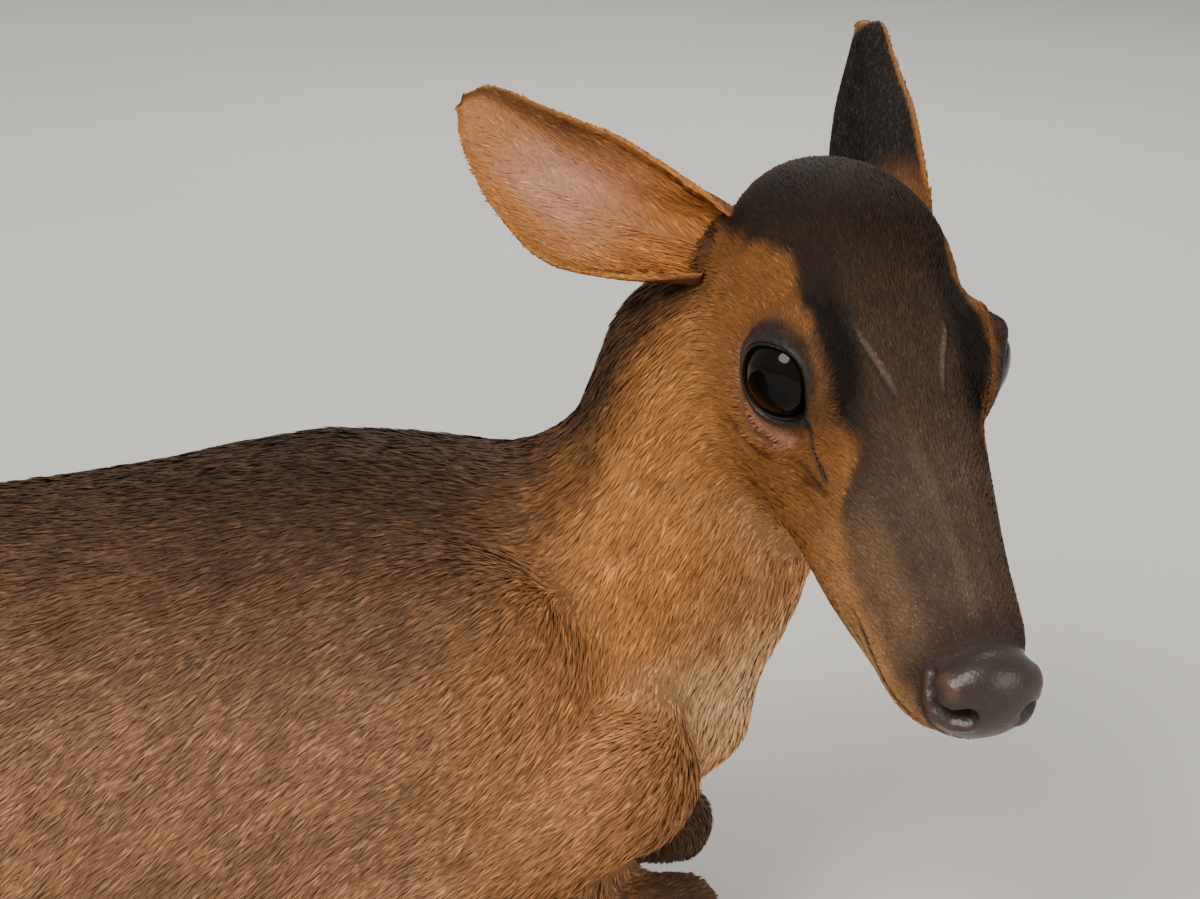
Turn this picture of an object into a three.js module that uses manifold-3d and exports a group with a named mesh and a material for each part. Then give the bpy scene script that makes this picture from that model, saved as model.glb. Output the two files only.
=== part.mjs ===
// A life-size still model of a lying muntjac, in millimetres.
// X runs from rump to breast, Y to the animal's left, Z up. The floor is z = 0.
// The animal is described as one smooth field of distances. Each named part is that field,
// contoured on a grid of its own, and parted from its neighbours by thin flat cuts.
import * as THREE from 'three';
import { mergeVertices } from 'three/addons/utils/BufferGeometryUtils.js';
import Module from 'manifold-3d';

const wasm = await Module();
wasm.setup();

// Driving dimensions
const GAP = 0.3; // between neighbouring parts
const WITHERS = 189; // height of the back over the floor, lying down
const BODY_HEADING = 9; // degrees, where the trunk points at the withers, turned to the left
const BODY_BEND = 0.039; // degrees of turn for each millimetre along the spine
const HEAD_PLACE = [138, -38, 223]; // midway between the eyes
const HEAD_YAW = -71.5; // degrees, the head is turned to the right
const HEAD_PITCH = 28; // degrees, nose down
const HEAD_ROLL = -1.5;
const MUZZLE = 104; // from between the eyes to the tip of the nose
const EYE_RADIUS = 14;
const EYE_CENTRE = [-0.8, 25.2, -1]; // in the head, on the left side
const EYE_AXIS = [0.42, 0.88, 0.2]; // where the left eye looks, in the head
const EYE_TILT = -18; // degrees, the front corner of the lids lies lower
const LID_LENGTH = 12.2; // half the opening between the lids, along it
const LID_HEIGHT = 10.8; // half the opening, across it
const LID_THICKNESS = 1.9; // radius of the fleshy edge of the lids
const EAR_LENGTH = 94;
const EAR_ROOT = [-54, 27, -4]; // in the head, on the left side
const SPINE_RADIUS = 180 / (Math.PI * BODY_BEND);
const SLIVER = 0.02; // faces thinner than this are closed up
const SHORT_EDGE = 0.12; // and edges shorter than this, at a sliver

// Small vector helpers
const RAD = Math.PI / 180;
const dot = (a, b) => a[0] * b[0] + a[1] * b[1] + a[2] * b[2];
const plus = (a, b, t = 1) => [a[0] + b[0] * t, a[1] + b[1] * t, a[2] + b[2] * t];
const cross = (a, b) => [
  a[1] * b[2] - a[2] * b[1],
  a[2] * b[0] - a[0] * b[2],
  a[0] * b[1] - a[1] * b[0],
];
const unit = (a) => {
  const length = Math.hypot(...a);
  return a.map((value) => value / length);
};
const mirrored = (a, side) => [a[0], a[1] * side, a[2]];
const clamp = (value, low, high) => Math.min(Math.max(value, low), high);

// A frame is an origin and three axes. It turns world places into its own and back.
function makeFrame(origin, axes) {
  return {
    origin,
    axes,
    local: (p) => {
      const d = plus(p, origin, -1);
      return axes.map((axis) => dot(d, axis));
    },
    world: (q) => plus(plus(plus(origin, axes[0], q[0]), axes[1], q[1]), axes[2], q[2]),
    turn: (q) => [0, 1, 2].map((k) => axes[0][k] * q[0] + axes[1][k] * q[1] + axes[2][k] * q[2]),
  };
}

// A frame whose first axis is given, and whose third leans towards a second direction.
function aimedFrame(origin, first, lean) {
  const u = unit(first);
  const w = unit(plus(lean, u, -dot(lean, u)));
  return makeFrame(origin, [u, cross(w, u), w]);
}

const WORLD = makeFrame([0, 0, 0], [[1, 0, 0], [0, 1, 0], [0, 0, 1]]);

function headFrame() {
  const turn = new THREE.Matrix4().makeRotationFromEuler(
    new THREE.Euler(HEAD_ROLL * RAD, HEAD_PITCH * RAD, HEAD_YAW * RAD, 'ZYX'),
  );
  const axes = [0, 1, 2].map((i) => new THREE.Vector3().setFromMatrixColumn(turn, i).toArray());
  return makeFrame(HEAD_PLACE, axes);
}
const HEAD = headFrame();

// The trunk follows an arc on the floor plan: s along it, l to the left, z up.
const cosine = Math.cos(BODY_HEADING * RAD);
const sine = Math.sin(BODY_HEADING * RAD);

function bodyLocal(p) {
  const ahead = p[0] * cosine + p[1] * sine;
  const aside = -p[0] * sine + p[1] * cosine + SPINE_RADIUS;
  return [SPINE_RADIUS * Math.atan2(ahead, aside), Math.hypot(ahead, aside) - SPINE_RADIUS, p[2]];
}

function bodyWorld(q) {
  const angle = q[0] / SPINE_RADIUS;
  const ahead = (SPINE_RADIUS + q[1]) * Math.sin(angle);
  const aside = (SPINE_RADIUS + q[1]) * Math.cos(angle) - SPINE_RADIUS;
  return [ahead * cosine - aside * sine, ahead * sine + aside * cosine, q[2]];
}

// A frame that stands on the trunk's arc at s, with its axes ahead, left and up.
function bodyFrame(q) {
  const heading = (BODY_HEADING - q[0] * BODY_BEND) * RAD;
  const ahead = [Math.cos(heading), Math.sin(heading), 0];
  return makeFrame(bodyWorld(q), [ahead, [-ahead[1], ahead[0], 0], [0, 0, 1]]);
}

// Forms of the field. Each gives a distance, less than zero inside.
function smoothMin(a, b, blend) {
  const h = Math.max(blend - Math.abs(a - b), 0) / blend;
  return Math.min(a, b) - h * h * blend * 0.25;
}
const smoothMax = (a, b, blend) => -smoothMin(-a, -b, blend);

function ellipsoid(p, centre, radii) {
  const x = (p[0] - centre[0]) / radii[0];
  const y = (p[1] - centre[1]) / radii[1];
  const z = (p[2] - centre[2]) / radii[2];
  const reach = Math.hypot(x, y, z);
  const slope = Math.hypot(x / radii[0], y / radii[1], z / radii[2]);
  return slope < 1e-9 ? -Math.min(...radii) : (reach * (reach - 1)) / slope;
}

// A rounded bone from a to b, whose thickness runs from one radius to the other.
function bone(p, a, b, radiusA, radiusB) {
  const ab = plus(b, a, -1);
  const ap = plus(p, a, -1);
  const t = clamp(dot(ap, ab) / dot(ab, ab), 0, 1);
  return Math.hypot(...plus(ap, ab, -t)) - (radiusA + (radiusB - radiusA) * t);
}

// A limb is a row of bones, each joint given as [place, radius].
function limb(p, joints, blend) {
  let d = Infinity;
  for (let i = 1; i < joints.length; i += 1) {
    const piece = bone(p, joints[i - 1][0], joints[i][0], joints[i - 1][1], joints[i][1]);
    d = i === 1 ? piece : smoothMin(d, piece, blend);
  }
  return d;
}

// A smooth curve through [place, value] pairs, level beyond its ends.
function profile(pairs) {
  const last = pairs.length - 1;
  const slopes = pairs.map((pair, i) => {
    const before = pairs[Math.max(i - 1, 0)];
    const after = pairs[Math.min(i + 1, last)];
    return i === 0 || i === last ? 0 : (after[1] - before[1]) / (after[0] - before[0]);
  });
  return (x) => {
    if (x <= pairs[0][0]) return pairs[0][1];
    if (x >= pairs[last][0]) return pairs[last][1];
    let i = 1;
    while (pairs[i][0] < x) i += 1;
    const [x0, y0] = pairs[i - 1];
    const [x1, y1] = pairs[i];
    const width = x1 - x0;
    const t = (x - x0) / width;
    const rise = (y1 - y0) / width;
    const a = slopes[i - 1];
    const b = slopes[i];
    return y0 + width * t * (a + t * (3 * rise - 2 * a - b + t * (a + b - 2 * rise)));
  };
}

// A lofted form along its first axis. Rows give place, top, bottom, half width and widest level.
function loft(rows, roundTop, roundLow, endBlend) {
  const column = (k) => profile(rows.map((row) => [row[0], row[k]]));
  const [top, low, half, level] = [1, 2, 3, 4].map(column);
  const first = rows[0][0];
  const last = rows[rows.length - 1][0];
  return (p) => {
    const wide = half(p[0]);
    const mid = level(p[0]);
    const above = p[2] > mid;
    const tall = above ? top(p[0]) - mid : mid - low(p[0]);
    const power = above ? roundTop : roundLow;
    const a = Math.abs(p[1]) / wide;
    const b = Math.abs(p[2] - mid) / tall;
    const reach = (a ** power + b ** power) ** (1 / power);
    let d = -Math.min(wide, tall);
    if (reach > 0.05) {
      const shrink = reach ** (1 - power);
      d = (reach - 1) / (shrink * Math.hypot(a ** (power - 1) / wide, b ** (power - 1) / tall));
    }
    return smoothMax(d, Math.max(first - p[0], p[0] - last), endBlend);
  };
}

// Head, in its own frame: x to the nose, z to the crown
const SKULL_ROWS = [
  [-72, 16, -38, 23, -10],
  [-54, 25, -52, 31, -10],
  [-36, 28, -62, 36, -12],
  [-18, 25, -65, 36, -14],
  [0, 19, -64, 32.5, -16],
  [22, 12, -61.5, 27.5, -20],
  [42, 6, -59, 24, -26],
  [62, 0, -54.5, 20, -28],
  [80, -6, -49.5, 17.5, -28],
  [92, -12, -45, 15, -28],
];
const skull = loft(SKULL_ROWS, 2.2, 2.3, 10);

function headField(q) {
  const p = [q[0], Math.abs(q[1]), q[2]];
  let d = skull(p);
  d = smoothMin(d, ellipsoid(p, [-46, 0, 4], [31, 30, 24]), 12);
  d = smoothMin(d, ellipsoid(p, [-2, 22, 2], [19, 14, 15]), 8);
  d = smoothMin(d, ellipsoid(p, [-16, 22, -24], [35, 14.5, 20]), 10);
  d = smoothMin(d, ellipsoid(p, [-32, 18, -40], [27, 17, 23]), 10);
  d = smoothMin(d, ellipsoid(p, [MUZZLE - 10.5, 0, -23.5], [11, 16, 14]), 4);
  d = smoothMin(d, ellipsoid(p, [74, 7, -33], [21, 10.5, 9.5]), 5);
  d = smoothMin(d, bone(p, [6, 0, -54], [80, 0, -45], 11.5, 8), 6);
  return d;
}

// Ears, in frames of their own: u from root to tip, v across, w towards the open side
const EAR_START = 8; // where the free ear leaves its root
const EAR_STEPS = [14, 10]; // faces along the ear and across it
const EAR_HALVES = [
  [0, 10.5],
  [11, 13],
  [28, 18],
  [46, 20.8],
  [64, 17.6],
  [79, 13],
  [89, 7.8],
  [EAR_LENGTH, 2.5],
];
const earHalf = profile(EAR_HALVES);
const earShift = profile([[0, 1], [22, 5], [48, 7.5], [70, 5], [EAR_LENGTH, -1]]);
const earCup = profile([[0, 15], [18, 14], [42, 11], [66, 7], [EAR_LENGTH, 3]]);
const EAR_LIFT = 6; // the free edge lies this far to the open side of the root's middle
const earCurl = profile([[0, 2.1], [16, 1.6], [40, 1.25], [EAR_LENGTH, 1]]);
const earThickness = profile([[0, 5], [20, 4], [60, 3.2], [EAR_LENGTH, 2.4]]);
const earBulb = (q) => ellipsoid(q, [-2, 0, -3], [15, 12.5, 13]);

// The ear is a flat sheet curled across itself, thickest at its root.
function earSolid(frame, side) {
  const flat = new THREE.BoxGeometry(1, 2, 1, EAR_STEPS[0], EAR_STEPS[1], 1);
  return solid(bent(flat, ([x, y, z]) => {
    const u = EAR_START + GAP + (EAR_LENGTH - EAR_START - GAP) * (1 - (0.5 - x) ** 1.3);
    const curl = earCurl(u);
    const angle = y * curl;
    const wide = earHalf(u) / Math.sin(Math.min(curl, Math.PI / 2));
    const deep = earCup(u) / (1 - Math.cos(curl));
    const normal = unit([0, -deep * Math.sin(angle), wide * Math.cos(angle)]);
    const half = z * earThickness(u) * (1 - 0.45 * y * y * y * y);
    const v = wide * Math.sin(angle) - side * earShift(u);
    const w = EAR_LIFT - deep * (Math.cos(angle) - Math.cos(curl));
    return frame.world([u, v + normal[1] * half, w + normal[2] * half]);
  }));
}

function earFrame(side, axis, open) {
  return aimedFrame(HEAD.world(mirrored(EAR_ROOT, side)), HEAD.turn(axis), HEAD.turn(open));
}
const EARS = {
  right: earFrame(-1, [-0.725, -0.684, -0.015], [0.56, -0.45, 0.7]),
  left: earFrame(1, [-0.975, 0.14, 0.12], [0.12, 0.95, -0.3]),
};

// Trunk, in the frame of the arc
const TRUNK_ROWS = [
  [-372, 132, 44, 36, 96],
  [-350, 145, 24, 50, 90],
  [-310, 162, 4, 64, 84],
  [-250, 170, -6, 76, 78],
  [-180, 170, -7, 84, 76],
  [-110, 175, -6, 82, 78],
  [-72, 180, 2, 78, 80],
  [-42, 186, 16, 73, 82],
  [-12, WITHERS, 25, 68, 84],
  [25, 181, 29, 61, 84],
  [56, 158, 34, 50, 82],
  [80, 116, 40, 32, 76],
];
const trunk = loft(TRUNK_ROWS, 2.1, 2.5, 24);

function foreLeg(side) {
  const shift = side > 0 ? 3 : -2;
  return {
    shoulder: [62, 42 * side, 94],
    elbow: [-14 + shift, 58 * side, 48],
    carpus: [88 + shift, 30 * side, 34],
    fetlock: [10 + shift, 35 * side, 9.5],
    toe: [-24 + shift, 38 * side, 8],
  };
}

function hindLeg(side) {
  const shift = side > 0 ? 6 : -4;
  return {
    hip: [-325, 46 * side, 112],
    stifle: [-234 + shift, 74 * side, 57],
    hock: [-366 + shift, 66 * side, 17],
    fetlock: [-266 + shift, 84 * side, 9.5],
    toe: [-230 + shift, 87 * side, 8],
  };
}

function foreLegField(p, side) {
  const leg = foreLeg(side);
  const arm = bone(p, leg.shoulder, leg.elbow, 30, 21);
  const forearm = bone(p, leg.elbow, leg.carpus, 20, 14.5);
  const cannon = limb(p, [[leg.carpus, 13.5], [leg.fetlock, 9.5], [leg.toe, 8.5]], 3);
  return smoothMin(smoothMin(arm, forearm, 14), cannon, 3);
}

function hindLegField(p, side) {
  const leg = hindLeg(side);
  let d = ellipsoid(p, [-298, 52 * side, 86], [74, 36, 66]);
  d = smoothMin(d, bone(p, leg.hip, leg.stifle, 40, 27), 16);
  const calf = plus(leg.stifle, plus(leg.hock, leg.stifle, -1), 0.45);
  d = smoothMin(d, limb(p, [[leg.stifle, 24], [calf, 22], [leg.hock, 14]], 8), 8);
  return smoothMin(d, limb(p, [[leg.hock, 13], [leg.fetlock, 9.5], [leg.toe, 8.5]], 3), 3);
}

const TAIL_JOINTS = [
  [[-364, 0, 122], 19],
  [[-390, 3, 96], 16],
  [[-406, 8, 62], 13],
  [[-418, 14, 26], 8],
];

function trunkField(p) {
  let d = trunk(p);
  d = smoothMin(d, ellipsoid(p, [50, 2, 82], [34, 38, 42]), 18);
  d = smoothMin(d, ellipsoid(p, [-338, 0, 104], [52, 50, 57]), 24);
  for (const side of [-1, 1]) {
    d = smoothMin(d, ellipsoid(p, [18, 44 * side, 104], [44, 25, 62]), 20);
    d = smoothMin(d, foreLegField(p, side), 9);
    d = smoothMin(d, hindLegField(p, side), 10);
  }
  return smoothMin(d, limb(p, TAIL_JOINTS, 18), 8);
}

// Neck, from the shoulders to the back of the skull
const NECK_JOINTS = [
  [[46, 6, 104], 53],
  [[80, 14, 150], 40],
  [[98, 18, 200], 36],
  [HEAD.world([-46, 0, -22]), 31],
];
const CREST_JOINTS = [
  [[4, 5, 139], 41],
  [[64, 12, 155], 33],
];
const THROAT_JOINTS = [
  [[84, 10, 98], 30],
  [[93, 8, 140], 26],
  [HEAD.world([-26, 0, -46]), 21],
];

function animal(p) {
  let d = trunkField(bodyLocal(p));
  d = smoothMin(d, limb(p, CREST_JOINTS, 24), 12);
  d = smoothMin(d, limb(p, NECK_JOINTS, 24), 13);
  d = smoothMin(d, limb(p, THROAT_JOINTS, 16), 14);
  d = smoothMin(d, headField(HEAD.local(p)), 14);
  for (const side of ['right', 'left']) {
    d = smoothMin(d, earBulb(EARS[side].local(p)), 6);
  }
  return d;
}

// Contouring: one vertex for each sheet of the surface in a grid cell, joined across cell edges
const CELL_EDGES = [];
for (let axis = 0; axis < 3; axis += 1) {
  for (let corner = 0; corner < 8; corner += 1) {
    if (!(corner & (1 << axis))) CELL_EDGES.push([corner, corner | (1 << axis), axis]);
  }
}
const CELL_FACES = [];
for (let axis = 0; axis < 3; axis += 1) {
  for (const high of [0, 1]) {
    const onFace = (corner) => ((corner >> axis) & 1) === high;
    const indices = CELL_EDGES.map((edge, i) => i);
    CELL_FACES.push(indices.filter((i) => onFace(CELL_EDGES[i][0]) && onFace(CELL_EDGES[i][1])));
  }
}

// Cell edges that belong to one sheet get one label. Sheets part at the corners that lie inside.
function sheetLabels(inside) {
  const label = CELL_EDGES.map((edge, i) => i);
  const cut = CELL_EDGES.map(([a, b]) => inside[a] !== inside[b]);
  const find = (i) => (label[i] === i ? i : find(label[i]));
  const join = (i, j) => {
    label[find(i)] = find(j);
  };
  for (const face of CELL_FACES) {
    const crossed = face.filter((i) => cut[i]);
    if (crossed.length === 2) join(crossed[0], crossed[1]);
    if (crossed.length === 4) {
      for (let a = 0; a < 4; a += 1) {
        for (let b = a + 1; b < 4; b += 1) {
          const [one, other] = [crossed[a], crossed[b]].map((i) => CELL_EDGES[i].slice(0, 2));
          const shared = one.find((c) => other.includes(c));
          if (shared !== undefined && inside[shared]) join(crossed[a], crossed[b]);
        }
      }
    }
  }
  return cut.map((isCut, i) => (isCut ? find(i) : -1));
}

function gridLines(low, high, step) {
  const count = Math.ceil((high - low) / step);
  return Array.from({ length: count + 1 }, (_, i) => low + ((high - low) * i) / count);
}

// Pull a vertex on to the surface of the field, by no more than a limit.
function settle(field, p, limit) {
  const h = 0.05;
  let q = p;
  for (let pass = 0; pass < 4; pass += 1) {
    const d = field(q);
    const slope = [0, 1, 2].map((k) => {
      const step = [0, 0, 0];
      step[k] = h;
      return (field(plus(q, step)) - field(plus(q, step, -1))) / (2 * h);
    });
    q = plus(q, slope, -d / Math.max(dot(slope, slope), 0.25));
  }
  const move = plus(q, p, -1);
  const far = Math.hypot(...move);
  return far > limit ? plus(p, move, limit / far) : q;
}

// The field inside a frame's box, as a closed mesh with numbers in world millimetres.
function contour(field, frame, lines) {
  const [nx, ny, nz] = lines.map((line) => line.length);
  const ends = lines.map((line) => [line[0], line[line.length - 1]]);
  const margin = Math.min(...lines.map((line) => line[1] - line[0])) * 0.4;
  const boxed = (q) => {
    let d = field(frame.world(q));
    ends.forEach(([low, high], k) => {
      d = Math.max(d, low + margin - q[k], q[k] - high + margin);
    });
    return d;
  };
  const values = new Float64Array(nx * ny * nz);
  const at = (i, j, k) => (i * ny + j) * nz + k;
  for (let i = 0; i < nx; i += 1) {
    for (let j = 0; j < ny; j += 1) {
      for (let k = 0; k < nz; k += 1) {
        values[at(i, j, k)] = boxed([lines[0][i], lines[1][j], lines[2][k]]);
      }
    }
  }
  const places = [];
  const owner = new Map();
  for (let i = 0; i + 1 < nx; i += 1) {
    for (let j = 0; j + 1 < ny; j += 1) {
      for (let k = 0; k + 1 < nz; k += 1) {
        const corner = (c) => [i + (c & 1), j + ((c >> 1) & 1), k + ((c >> 2) & 1)];
        const value = [0, 1, 2, 3, 4, 5, 6, 7].map((c) => values[at(...corner(c))]);
        const inside = value.map((v) => v < 0);
        if (inside.every((v) => v === inside[0])) continue;
        const labels = sheetLabels(inside);
        const sheets = new Map();
        labels.forEach((label, e) => {
          if (label < 0) return;
          const [a, b] = CELL_EDGES[e];
          const t = value[a] / (value[a] - value[b]);
          const from = corner(a).map((n, axis) => lines[axis][n]);
          const to = corner(b).map((n, axis) => lines[axis][n]);
          if (!sheets.has(label)) sheets.set(label, { sum: [0, 0, 0], count: 0, edges: [] });
          const sheet = sheets.get(label);
          sheet.sum = plus(sheet.sum, plus(from, plus(to, from, -1), t));
          sheet.count += 1;
          sheet.edges.push(e);
        });
        const limit = 0.45 * (lines[0][i + 1] - lines[0][i]);
        for (const sheet of sheets.values()) {
          const start = sheet.sum.map((v) => v / sheet.count);
          const place = settle(boxed, start, limit);
          sheet.edges.forEach((e) => owner.set(at(i, j, k) * 12 + e, places.length));
          places.push(frame.world(place));
        }
      }
    }
  }
  return quadsToMesh(places, owner, values, [nx, ny, nz], at);
}

// Every grid edge that the surface crosses gives one four-sided face, split on its short diagonal.
function quadsToMesh(places, owner, values, counts, at) {
  const triangles = [];
  const index = [0, 0, 0];
  for (let axis = 0; axis < 3; axis += 1) {
    const b = (axis + 1) % 3;
    const c = (axis + 2) % 3;
    for (index[0] = 0; index[0] < counts[0]; index[0] += 1) {
      for (index[1] = 0; index[1] < counts[1]; index[1] += 1) {
        for (index[2] = 0; index[2] < counts[2]; index[2] += 1) {
          if (index[axis] + 1 >= counts[axis] || index[b] === 0 || index[c] === 0) continue;
          if (index[b] + 1 >= counts[b] || index[c] + 1 >= counts[c]) continue;
          const next = [...index];
          next[axis] += 1;
          const here = values[at(...index)] < 0;
          if (here === values[at(...next)] < 0) continue;
          const ring = [[0, 0], [1, 0], [1, 1], [0, 1]].map(([db, dc]) => {
            const cell = [...index];
            cell[b] -= db;
            cell[c] -= dc;
            const corner = (db << b) | (dc << c);
            const edge = CELL_EDGES.findIndex((e) => e[0] === corner && e[2] === axis);
            return owner.get(at(...cell) * 12 + edge);
          });
          if (here) ring.reverse();
          const gap = (m, n) => Math.hypot(...plus(places[ring[m]], places[ring[n]], -1));
          const order = gap(0, 2) <= gap(1, 3) ? [0, 1, 2, 0, 2, 3] : [0, 1, 3, 1, 2, 3];
          triangles.push(...order.map((n) => ring[n]).reverse());
        }
      }
    }
  }
  return new wasm.Manifold(new wasm.Mesh({
    numProp: 3,
    vertProperties: new Float32Array(places.flat()),
    triVerts: new Uint32Array(triangles),
  }));
}

// A closed three.js geometry as a solid to join or cut with
function solid(geometry) {
  const bare = geometry.clone();
  bare.deleteAttribute('normal');
  bare.deleteAttribute('uv');
  const merged = mergeVertices(bare, 1e-4);
  const triangles = new Uint32Array(merged.index.array);
  const place = merged.attributes.position;
  let volume = 0;
  for (let i = 0; i < triangles.length; i += 3) {
    const corner = (k) => new THREE.Vector3().fromBufferAttribute(place, triangles[i + k]);
    const [a, b, c] = [0, 1, 2].map(corner);
    volume += a.dot(b.cross(c));
  }
  if (volume < 0) triangles.reverse();
  return new wasm.Manifold(new wasm.Mesh({
    numProp: 3,
    vertProperties: new Float32Array(place.array),
    triVerts: triangles,
  }));
}

// A box between two corners of a frame, grown by a margin on every side, or an oval drum in that box
function block(frame, low, high, grow = 0, drum = false) {
  const size = high.map((value, k) => value - low[k] + 2 * grow);
  const centre = high.map((value, k) => (value + low[k]) / 2);
  const geometry = drum ? new THREE.CylinderGeometry(0.5, 0.5, 1, 32) : new THREE.BoxGeometry(1, 1, 1);
  geometry.scale(...size);
  const basis = new THREE.Matrix4().makeBasis(...frame.axes.map((axis) => new THREE.Vector3(...axis)));
  geometry.applyMatrix4(basis.setPosition(...frame.world(centre)));
  return solid(geometry);
}

// Points of a geometry moved one by one, for a form bent out of a plain one
function bent(geometry, move) {
  const place = geometry.attributes.position;
  for (let i = 0; i < place.count; i += 1) {
    place.setXYZ(i, ...move([place.getX(i), place.getY(i), place.getZ(i)]));
  }
  return geometry;
}

const largest = (shape) => shape.decompose().sort((a, b) => b.volume() - a.volume())[0];

// Eyes, in frames of their own: u along the lids to the front corner, v across, w outwards
function eyeFrame(side) {
  const out = unit(mirrored(EYE_AXIS, side));
  const along = [Math.cos(EYE_TILT * RAD), 0, Math.sin(EYE_TILT * RAD)];
  const u = unit(plus(along, out, -dot(along, out)));
  return makeFrame(HEAD.world(mirrored(EYE_CENTRE, side)), [u, cross(out, u), out].map(HEAD.turn));
}

// The edge of the lids at an angle round the eye, drawn to a point at the front corner
function lidEdge(angle, grow = 0) {
  const narrow = 1 - 0.3 * Math.max(Math.cos(angle), 0) ** 2;
  return [(LID_LENGTH + grow) * Math.cos(angle), (LID_HEIGHT + grow) * Math.sin(angle) * narrow];
}

function eyeOpening(frame, grow) {
  const steps = 20;
  const points = Array.from({ length: steps }, (_, i) => lidEdge((2 * Math.PI * i) / steps, grow));
  const outline = new THREE.Shape(points.map(([u, v]) => new THREE.Vector2(u, v)));
  const depth = EYE_RADIUS + 12 - grow;
  const geometry = new THREE.ExtrudeGeometry(outline, { depth, bevelEnabled: false });
  return solid(bent(geometry, ([x, y, z]) => frame.world([x, y, z - grow])));
}

function eyeball(frame) {
  const ball = new THREE.SphereGeometry(EYE_RADIUS, 16, 12);
  return solid(bent(ball, frame.world)).intersect(eyeOpening(frame, -GAP));
}

// A fleshy ring that lies on the eyeball round the opening
function lids(frame) {
  const ring = new THREE.TorusGeometry(1, 0.2, 5, 20);
  return solid(bent(ring, ([x, y, z]) => {
    const angle = Math.atan2(y, x);
    const [u, v] = lidEdge(angle, LID_THICKNESS * 0.7 + (Math.hypot(x, y) - 1) * 5 * LID_THICKNESS);
    const aside = LID_LENGTH ** 2 * 0.92 * Math.cos(angle) ** 2 + (LID_HEIGHT * Math.sin(angle)) ** 2;
    const level = Math.sqrt(Math.max(EYE_RADIUS ** 2 - aside, 4));
    return frame.world([u, v, level - 0.6 + z * 5 * LID_THICKNESS]);
  }));
}

// A thin curved blade that cuts a slit: a path, the way into the flesh, and the way across the slit
function slit(frame, path, depth, width, across) {
  const points = new THREE.CatmullRomCurve3(path.map((point) => new THREE.Vector3(...point)));
  const blade = new THREE.BoxGeometry(1, 2, 1, 8, 1, 1);
  return solid(bent(blade, ([x, y, z]) => {
    const t = 0.5 - x;
    const place = points.getPoint(t).toArray();
    const taper = 0.3 + 0.7 * Math.sin(Math.PI * clamp(t, 0.02, 0.98));
    return frame.world(plus(plus(place, depth, y), across, z * width * taper));
  }));
}

function headSlits() {
  const cuts = [];
  for (const side of [-1, 1]) {
    const at = (p) => mirrored(p, side);
    const gland = [[12, 29, -4], [19, 27.5, -9], [26, 25.5, -13], [32, 23, -14.5]].map(at);
    cuts.push(slit(HEAD, gland, at([0.4, 4, 0.6]), 1.5, [0.4, 0, 0.9]));
    const brow = [[1, 12.4, 16], [10, 10.6, 14], [18, 9, 12], [26, 7.6, 10.5]].map(at);
    cuts.push(slit(HEAD, brow, [0.4, 0, 3.2], 1.5, at([0, 1, 0])));
  }
  return cuts;
}

// The mouth is a thin bent plate between the lips, open at the front and both sides
function mouthSlit() {
  const plate = new THREE.BoxGeometry(1, 2, 1, 8, 6, 1);
  return solid(bent(plate, ([x, y, z]) => {
    const forward = 58 + 44 * (x + 0.5);
    const rise = 3.5 * (0.5 - x) - 2.5 * y * y * (x + 0.5);
    return HEAD.world([forward, y * 24, -38 + rise + z * 0.9]);
  }));
}

function nostril(side) {
  const hollow = new THREE.SphereGeometry(1, 10, 8);
  return solid(bent(hollow, ([x, y, z]) => {
    const bend = 2.2 * z * z;
    return HEAD.world([MUZZLE - 4 + x * 5 - 3.5 * z, side * (12 + y * 2.2 + bend), -20 + z * 6]);
  }));
}

// Hooves and dew claws
function hoofFrame(root, toe, front) {
  return aimedFrame(bodyWorld(root), plus(bodyWorld(toe), bodyWorld(root), -1), front);
}

function hoof(frame, side) {
  const form = new THREE.SphereGeometry(1, 8, 7);
  const shape = solid(bent(form, ([x, y, z]) => {
    const u = 9 + 17 * x;
    const slim = 1 - 0.45 * Math.max(x, 0) ** 2;
    const v = (y > 0 ? 5.6 : 4.4) * y * slim;
    const w = z > 0 ? z * 9.5 * (1 - 0.5 * Math.max(x, 0)) : z * 6.5;
    return frame.world([u, side * (5.4 + v), w - 1]);
  }));
  return shape;
}

function dewClaw(frame, side) {
  const form = new THREE.SphereGeometry(1, 6, 5);
  return solid(bent(form, ([x, y, z]) => frame.world([-20 + 7 * x, side * (6 + 3 * y), -8 + 4.5 * z])));
}

// Where the parts meet: each region is a box or a drum in a frame, and takes what lies in it
const FLOOR = block(WORLD, [-900, -500, -80], [700, 500, 0]);
const headCutUp = HEAD.turn([0.58, 0.2, 0.79]);
const headCut = aimedFrame(HEAD.world([-8, 0, -66]), HEAD.turn([0.8, 0, -0.6]), headCutUp);
const neckCut = aimedFrame([72, 8, 116], [0.66, 0.06, -0.75], [0.75, 0.08, 0.66]);

const along = (from, to, up) => aimedFrame(bodyWorld(from), plus(bodyWorld(to), bodyWorld(from), -1), up);
const reach = (from, to) => Math.hypot(...plus(bodyWorld(to), bodyWorld(from), -1));

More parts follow.
